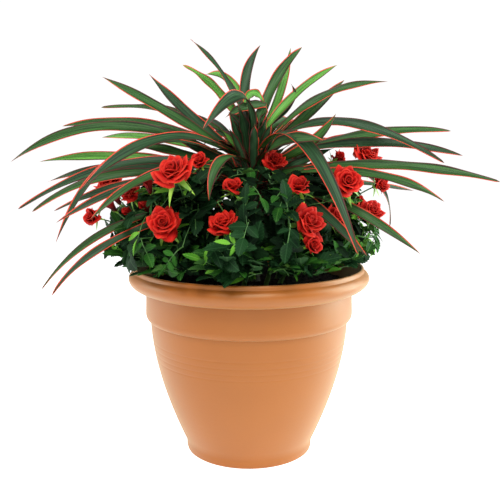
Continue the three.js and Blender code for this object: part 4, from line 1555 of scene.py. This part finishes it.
def calyxMesh(name, base, hug, seed):
    # a round hip under the petals and pointed sepals
    random = Random(seed)
    pile = lathe([(radius, base + height) for radius, height in hip], 10)
    for k in range(sepal["count"]):
        turn = 360 / sepal["count"] * k + random.uniform(-sepal["turnJitter"], sepal["turnJitter"])
        jitter = random.uniform(-sepal["riseJitter"], sepal["riseJitter"])
        rise = math.radians(mix(*sepal["rise"], hug) + jitter)
        direction = polar(turn, math.cos(rise), math.sin(rise))
        facing = polar(turn, -math.sin(rise), math.cos(rise))
        foot = polar(turn, sepal["foot"][0], base + sepal["foot"][1])
        length = sepal["length"] * random.uniform(*sepal["lengthJitter"])
        curl = random.uniform(*sepal["curl"]) * (1 - hug)
        addSepal(pile, foot, direction, facing, length, curl)
    return meshFrom(name, pile, [], 60, 1)


def placeTree(name, materials):
    # sets one of the given shapes at each point, by that point's turn, size and pick
    tree, given = newTree(name, [("Shapes", "Collection", None), ("Size", "Float", 1.0)])
    source = {"Collection": given["Shapes"], "Separate Children": True, "Reset Children": True}
    placing = {
        "Points": given["Geometry"],
        "Instance": addNode(tree, "GeometryNodeCollectionInfo", source).outputs[0],
        "Pick Instance": True,
        "Instance Index": attributeOf(tree, "pick", "INT"),
        "Rotation": attributeOf(tree, "turn", "QUATERNION"),
        "Scale": maths(tree, "MULTIPLY", attributeOf(tree, "size", "FLOAT"), given["Size"]),
    }
    endTree(tree, addNode(tree, "GeometryNodeInstanceOnPoints", placing).outputs[0], materials)
    return tree


def spotMesh(name, spots):
    # a point for each spot: its place, turn, size and which shape stands there
    mesh = bpy.data.meshes.new(name)
    mesh.from_pydata([place * mm for place, _, _, _ in spots], [], [])
    turns = np.array([list(turn) for _, turn, _, _ in spots], np.float32)
    mesh.attributes.new("turn", "QUATERNION", "POINT").data.foreach_set("value", turns.ravel())
    sizes = np.array([size * mm for _, _, size, _ in spots], np.float32)
    mesh.attributes.new("size", "FLOAT", "POINT").data.foreach_set("value", sizes)
    picks = np.array([pick for _, _, _, pick in spots], np.int32)
    mesh.attributes.new("pick", "INT", "POINT").data.foreach_set("value", picks)
    return mesh


def placeShapes(name, meshes, spots, materials):
    shapes = bpy.data.collections.new(name + "_shapes")
    for i, mesh in enumerate(meshes):
        shapes.objects.link(bpy.data.objects.new(f"{name}_shape_{i:02d}", mesh))
    bpy.context.scene.collection.children.link(shapes)
    tree = placeTree(name + "_tree", materials)
    piece = runTree(name, spotMesh(name + "_spots", spots), tree, {"Shapes": shapes})
    for shape in list(shapes.objects):
        bpy.data.objects.remove(shape)
    bpy.data.collections.remove(shapes)
    return piece


masses = [f"rose_mass_{i + 1}" for i in range(len(massEdges) - 1)]


def makeBlooms(growth):
    petals, calyxes, firstOf = [], [], {}
    for formName, form in head["forms"].items():
        firstOf[formName] = len(petals)
        for variant in range(form["variants"]):
            seed = head["seed"] + 10 * len(petals)
            mesh, base = headMesh(f"head_{formName}_{variant}", form, seed)
            petals.append(mesh)
            calyxes.append(calyxMesh(f"calyx_{formName}_{variant}", base, 1 - form["open"], seed))
    random = Random(head["seed"])
    spots = []
    for setting in blooms:
        size = setting["size"]
        formName = "open" if size >= head["openFrom"] else "bud" if size < head["budBelow"] else "half"
        pick = firstOf[formName] + random.randrange(head["forms"][formName]["variants"])
        facing = bloomFacing(setting)
        spin = Matrix.Rotation(random.uniform(0, 6.3), 3, "Z").to_quaternion()
        turn = facing.to_track_quat("Z", "Y") @ spin
        centre = bloomCentre(setting)
        spots.append((centre, turn, size / 2 * head["fullness"], pick))
        growStalk(growth, setting, centre, facing)
    settle(placeShapes("rose_petals", petals, spots, petalFinishes), masses)
    settle(placeShapes("rose_calyxes", calyxes, spots, sepalFinishes), masses)


def growStalk(growth, setting, centre, facing):
    # from the upper end of its mass's stem, bending up under the bloom
    index = max(i for i in range(len(massEdges) - 1) if massEdges[i] < setting["heading"])
    foot = polar(massHeading(index), cane["tip"], cane["top"])
    tip = polar(massHeading(index), massStem["reach"], massStem["height"])
    rise = (setting["height"] - cane["top"]) / (dome["base"] + dome["rise"] - cane["top"])
    lowest, highest = bloomStalk["roots"]
    root = foot.lerp(tip, min(highest, max(lowest, rise)))
    end = centre - facing * setting["size"] * bloomStalk["under"]
    arch = Arch(root, end - facing * (end - root).length * bloomStalk["bow"], end)
    track = arch.points(bloomStalk["steps"])
    growth.twigs.append((track, bloomStalk["radius"], bloomStalk["tipRadius"]))


def strandMesh(name, strands):
    # each strand is a chain of points with a radius at its foot and one at its tip
    points, edges, radii = [], [], []
    for chain, footRadius, tipRadius in strands:
        first = len(points)
        points.extend(point * mm for point in chain)
        edges.extend((first + i, first + i + 1) for i in range(len(chain) - 1))
        radii.extend(mix(footRadius, tipRadius, i / (len(chain) - 1)) * mm for i in range(len(chain)))
    mesh = bpy.data.meshes.new(name)
    mesh.from_pydata(points, edges, [])
    mesh.attributes.new("thick", "FLOAT", "POINT").data.foreach_set("value", radii)
    return mesh


def tubeAlong(tree, line, sides):
    ring = addNode(tree, "GeometryNodeCurvePrimitiveCircle", {"Resolution": sides, "Radius": 1.0})
    tube = {"Curve": line, "Profile Curve": ring.outputs[0], "Scale": attributeOf(tree, "thick", "FLOAT")}
    return addNode(tree, "GeometryNodeCurveToMesh", {**tube, "Fill Caps": True}).outputs[0]


def twigTree():
    tree, given = newTree("tubeAlongTwigs", [("Sides", "Int", 5)])
    line = addNode(tree, "GeometryNodeMeshToCurve", {0: given["Geometry"]}).outputs[0]
    endTree(tree, tubeAlong(tree, line, given["Sides"]), [twigFinish])
    return tree


thorns = {
    "Sides": 10,
    "Step": 1.6 * mm,
    "Relief": 0.7 * mm,
    "Spacing": 11 * mm,
    "Thorn": 2.6 * mm,
    "Seed": 5,
}
thornShape = {"sides": 6, "radius": 0.9 * mm, "lean": 80, "out": 1.8 * mm}


def barkOn(tree, limb, relief):
    # noise pushes the cane's skin in and out
    noise = addNode(tree, "ShaderNodeTexNoise", {"Scale": 420.0, "Detail": 3.0}).outputs[0]
    lift = maths(tree, "MULTIPLY", maths(tree, "SUBTRACT", noise, 0.5), relief)
    normal = addNode(tree, "GeometryNodeInputNormal").outputs[0]
    push = addNode(tree, "ShaderNodeVectorMath", {0: normal, "Scale": lift}, operation="SCALE").outputs[0]
    return addNode(tree, "GeometryNodeSetPosition", {"Geometry": limb, "Offset": push}).outputs[0]


def thornsAlong(tree, line, given):
    spacing = {"Curve": line, "Length": given["Spacing"]}
    spots = addNode(tree, "GeometryNodeCurveToPoints", spacing, mode="LENGTH")
    size = {"Vertices": thornShape["sides"], "Radius Bottom": thornShape["radius"], "Radius Top": 0.0}
    cone = addNode(tree, "GeometryNodeMeshCone", {**size, "Depth": given["Thorn"]}).outputs[0]
    lean = (0, math.radians(thornShape["lean"]), 0)
    lying = {"Geometry": cone, "Rotation": lean, "Translation": (thornShape["out"], 0, 0)}
    thorn = addNode(tree, "GeometryNodeTransform", lying).outputs[0]
    turn = addNode(tree, "FunctionNodeRandomValue", {2: 0.0, 3: 6.3, "Seed": given["Seed"]}).outputs[1]
    spin = addNode(tree, "FunctionNodeAxisAngleToRotation", {"Angle": turn}).outputs[0]
    facing = {"Rotation": spots.outputs["Rotation"], "Rotate By": spin}
    facing = addNode(tree, "FunctionNodeRotateRotation", facing, rotation_space="LOCAL").outputs[0]
    placing = {"Points": spots.outputs[0], "Instance": thorn, "Rotation": facing}
    return addNode(tree, "GeometryNodeInstanceOnPoints", placing).outputs[0]


def caneTree():
    inputs = [("Sides", "Int", 10), ("Step", "Float", 0.002), ("Relief", "Float", 0.0005)]
    inputs += [("Spacing", "Float", 0.01), ("Thorn", "Float", 0.002), ("Seed", "Int", 5)]
    tree, given = newTree("thornyCanes", inputs)
    line = addNode(tree, "GeometryNodeMeshToCurve", {0: given["Geometry"]}).outputs[0]
    spacing = {"Curve": line, "Length": given["Step"]}
    fine = addNode(tree, "GeometryNodeResampleCurve", spacing, mode="LENGTH").outputs[0]
    limb = barkOn(tree, tubeAlong(tree, fine, given["Sides"]), given["Relief"])
    joined = addNode(tree, "GeometryNodeJoinGeometry", {0: limb})
    tree.links.new(thornsAlong(tree, line, given), joined.inputs[0])
    endTree(tree, joined.outputs[0], [caneFinish])
    return tree


leaflet = {
    "stations": 7,
    "thickness": 0.024,
    "widest": 0.82,  # under 1 brings the widest place nearer to the leaflet's foot
    "fullness": 0.75,
    "toothReach": 0.035,
    "tooth": 1.04,
    "notch": 0.88,
}
leafForms = [  # bow, cup and twist of the leaflets' variants
    (0.1, 0.08, 0.03),
    (0.22, 0.05, -0.05),
    (0.02, 0.12, 0.06),
]


def bend(share, side, bow, cup, twist):
    return -bow * share**2 + cup * side**1.5 + twist * side * share


def leafMesh(name, width, bow, cup, twist):
    # a toothed leaflet, one long along +X: two thin skins that meet at the outline
    stations, thin = leaflet["stations"], leaflet["thickness"] / 2
    teeth = 2 * stations
    middles = [(i / stations, 0, bend(i / stations, 0, bow, cup, twist)) for i in range(stations + 1)]
    points = [(x, y, z + skin) for skin in (thin, -thin) for x, y, z in middles[1:-1]]
    foot = len(points)
    points += [middles[0], middles[-1]]
    rims = []
    for way in (1, -1):
        rims.append([foot, *range(len(points), len(points) + teeth - 1), foot + 1])
        for i in range(1, teeth):
            share, out = i / teeth, i % 2 == 0  # every second point is the tip of a tooth
            place = min(0.985, share + (leaflet["toothReach"] if out else 0))
            oval = math.sin(math.pi * share ** leaflet["widest"]) ** leaflet["fullness"]
            spread = width / 2 * oval * leaflet["tooth" if out else "notch"]
            points.append((place, way * spread, bend(place, spread / width * 2, bow, cup, twist * way)))
    faces, finishes = [], []
    for skin in (0, 1):
        first = skin * (stations - 1)
        spine = [foot, *range(first, first + stations - 1), foot + 1]
        for rim, turned in zip(rims, (skin == 1, skin == 0)):
            for i in range(stations):
                corners = list(dict.fromkeys([spine[i], spine[i + 1], *rim[2 * i:2 * i + 3][::-1]]))
                faces.append(tuple(corners[::-1] if turned else corners))
                finishes.append(skin)
    pile = Pile()
    places = [(point[1] / width + 0.5, point[0]) for point in points]
    pile.add(points, faces, finishes, places)
    return meshFrom(name, pile, [], 70, 1)


def makeLeaves(growth):
    for kind, shape in leafKinds.items():
        meshes = [leafMesh(f"{kind}_{i}", shape["width"], *form) for i, form in enumerate(leafForms)]
        spots = [(*leaf, i % len(meshes)) for i, leaf in enumerate(growth.leaves[kind])]
        piece = placeShapes(f"rose_leaves_{kind}", meshes, spots, leafFinishes[kind])
        settle(piece, masses)
        print("rose leaves,", kind, len(spots))


def keptClear():
    # round spaces along the blades, at the blooms and before them
    paths = leftPaths + rightPaths + tuftPaths + [pair for paths in fanSets for pair in paths]
    balls = bladeBalls(paths)
    for setting in blooms:
        centre, facing, size = bloomCentre(setting), bloomFacing(setting), setting["size"]
        outward = polar(setting["heading"], 1, 0)
        for along, out, radius in clearance["atBloom"]:
            balls.append((centre + facing * size * along + outward * size * out, size * radius))
    return Balls(balls)


def makeBush():
    growth = Growth(keptClear())
    for index in range(len(masses)):
        heading = massHeading(index)
        foot = polar(heading, cane["foot"], soil["top"] - 6)
        knee = polar(heading, cane["tip"], cane["top"])
        tip = polar(heading, massStem["reach"], massStem["height"])
        bough = [knee, knee.lerp(tip, 0.5) + Vector((0, 0, 3)), tip]
        growth.canes.append(([foot, knee], cane["footRadius"], cane["tipRadius"]))
        growth.canes.append((bough, massStem["footRadius"], massStem["tipRadius"]))
        growTwigs(growth, index, knee, tip)
    makeBlooms(growth)
    makeLeaves(growth)
    canes = runTree("rose_canes", strandMesh("cane_lines", growth.canes), caneTree(), thorns)
    settle(canes, [f"rose_cane_{i + 1}" for i in range(len(masses))])
    wood = runTree("rose_twigs", strandMesh("twig_lines", growth.twigs), twigTree(), {"Sides": 5})
    settle(wood, masses)
    print("rose bush grown:", len(growth.twigs), "twigs")


makeBush()
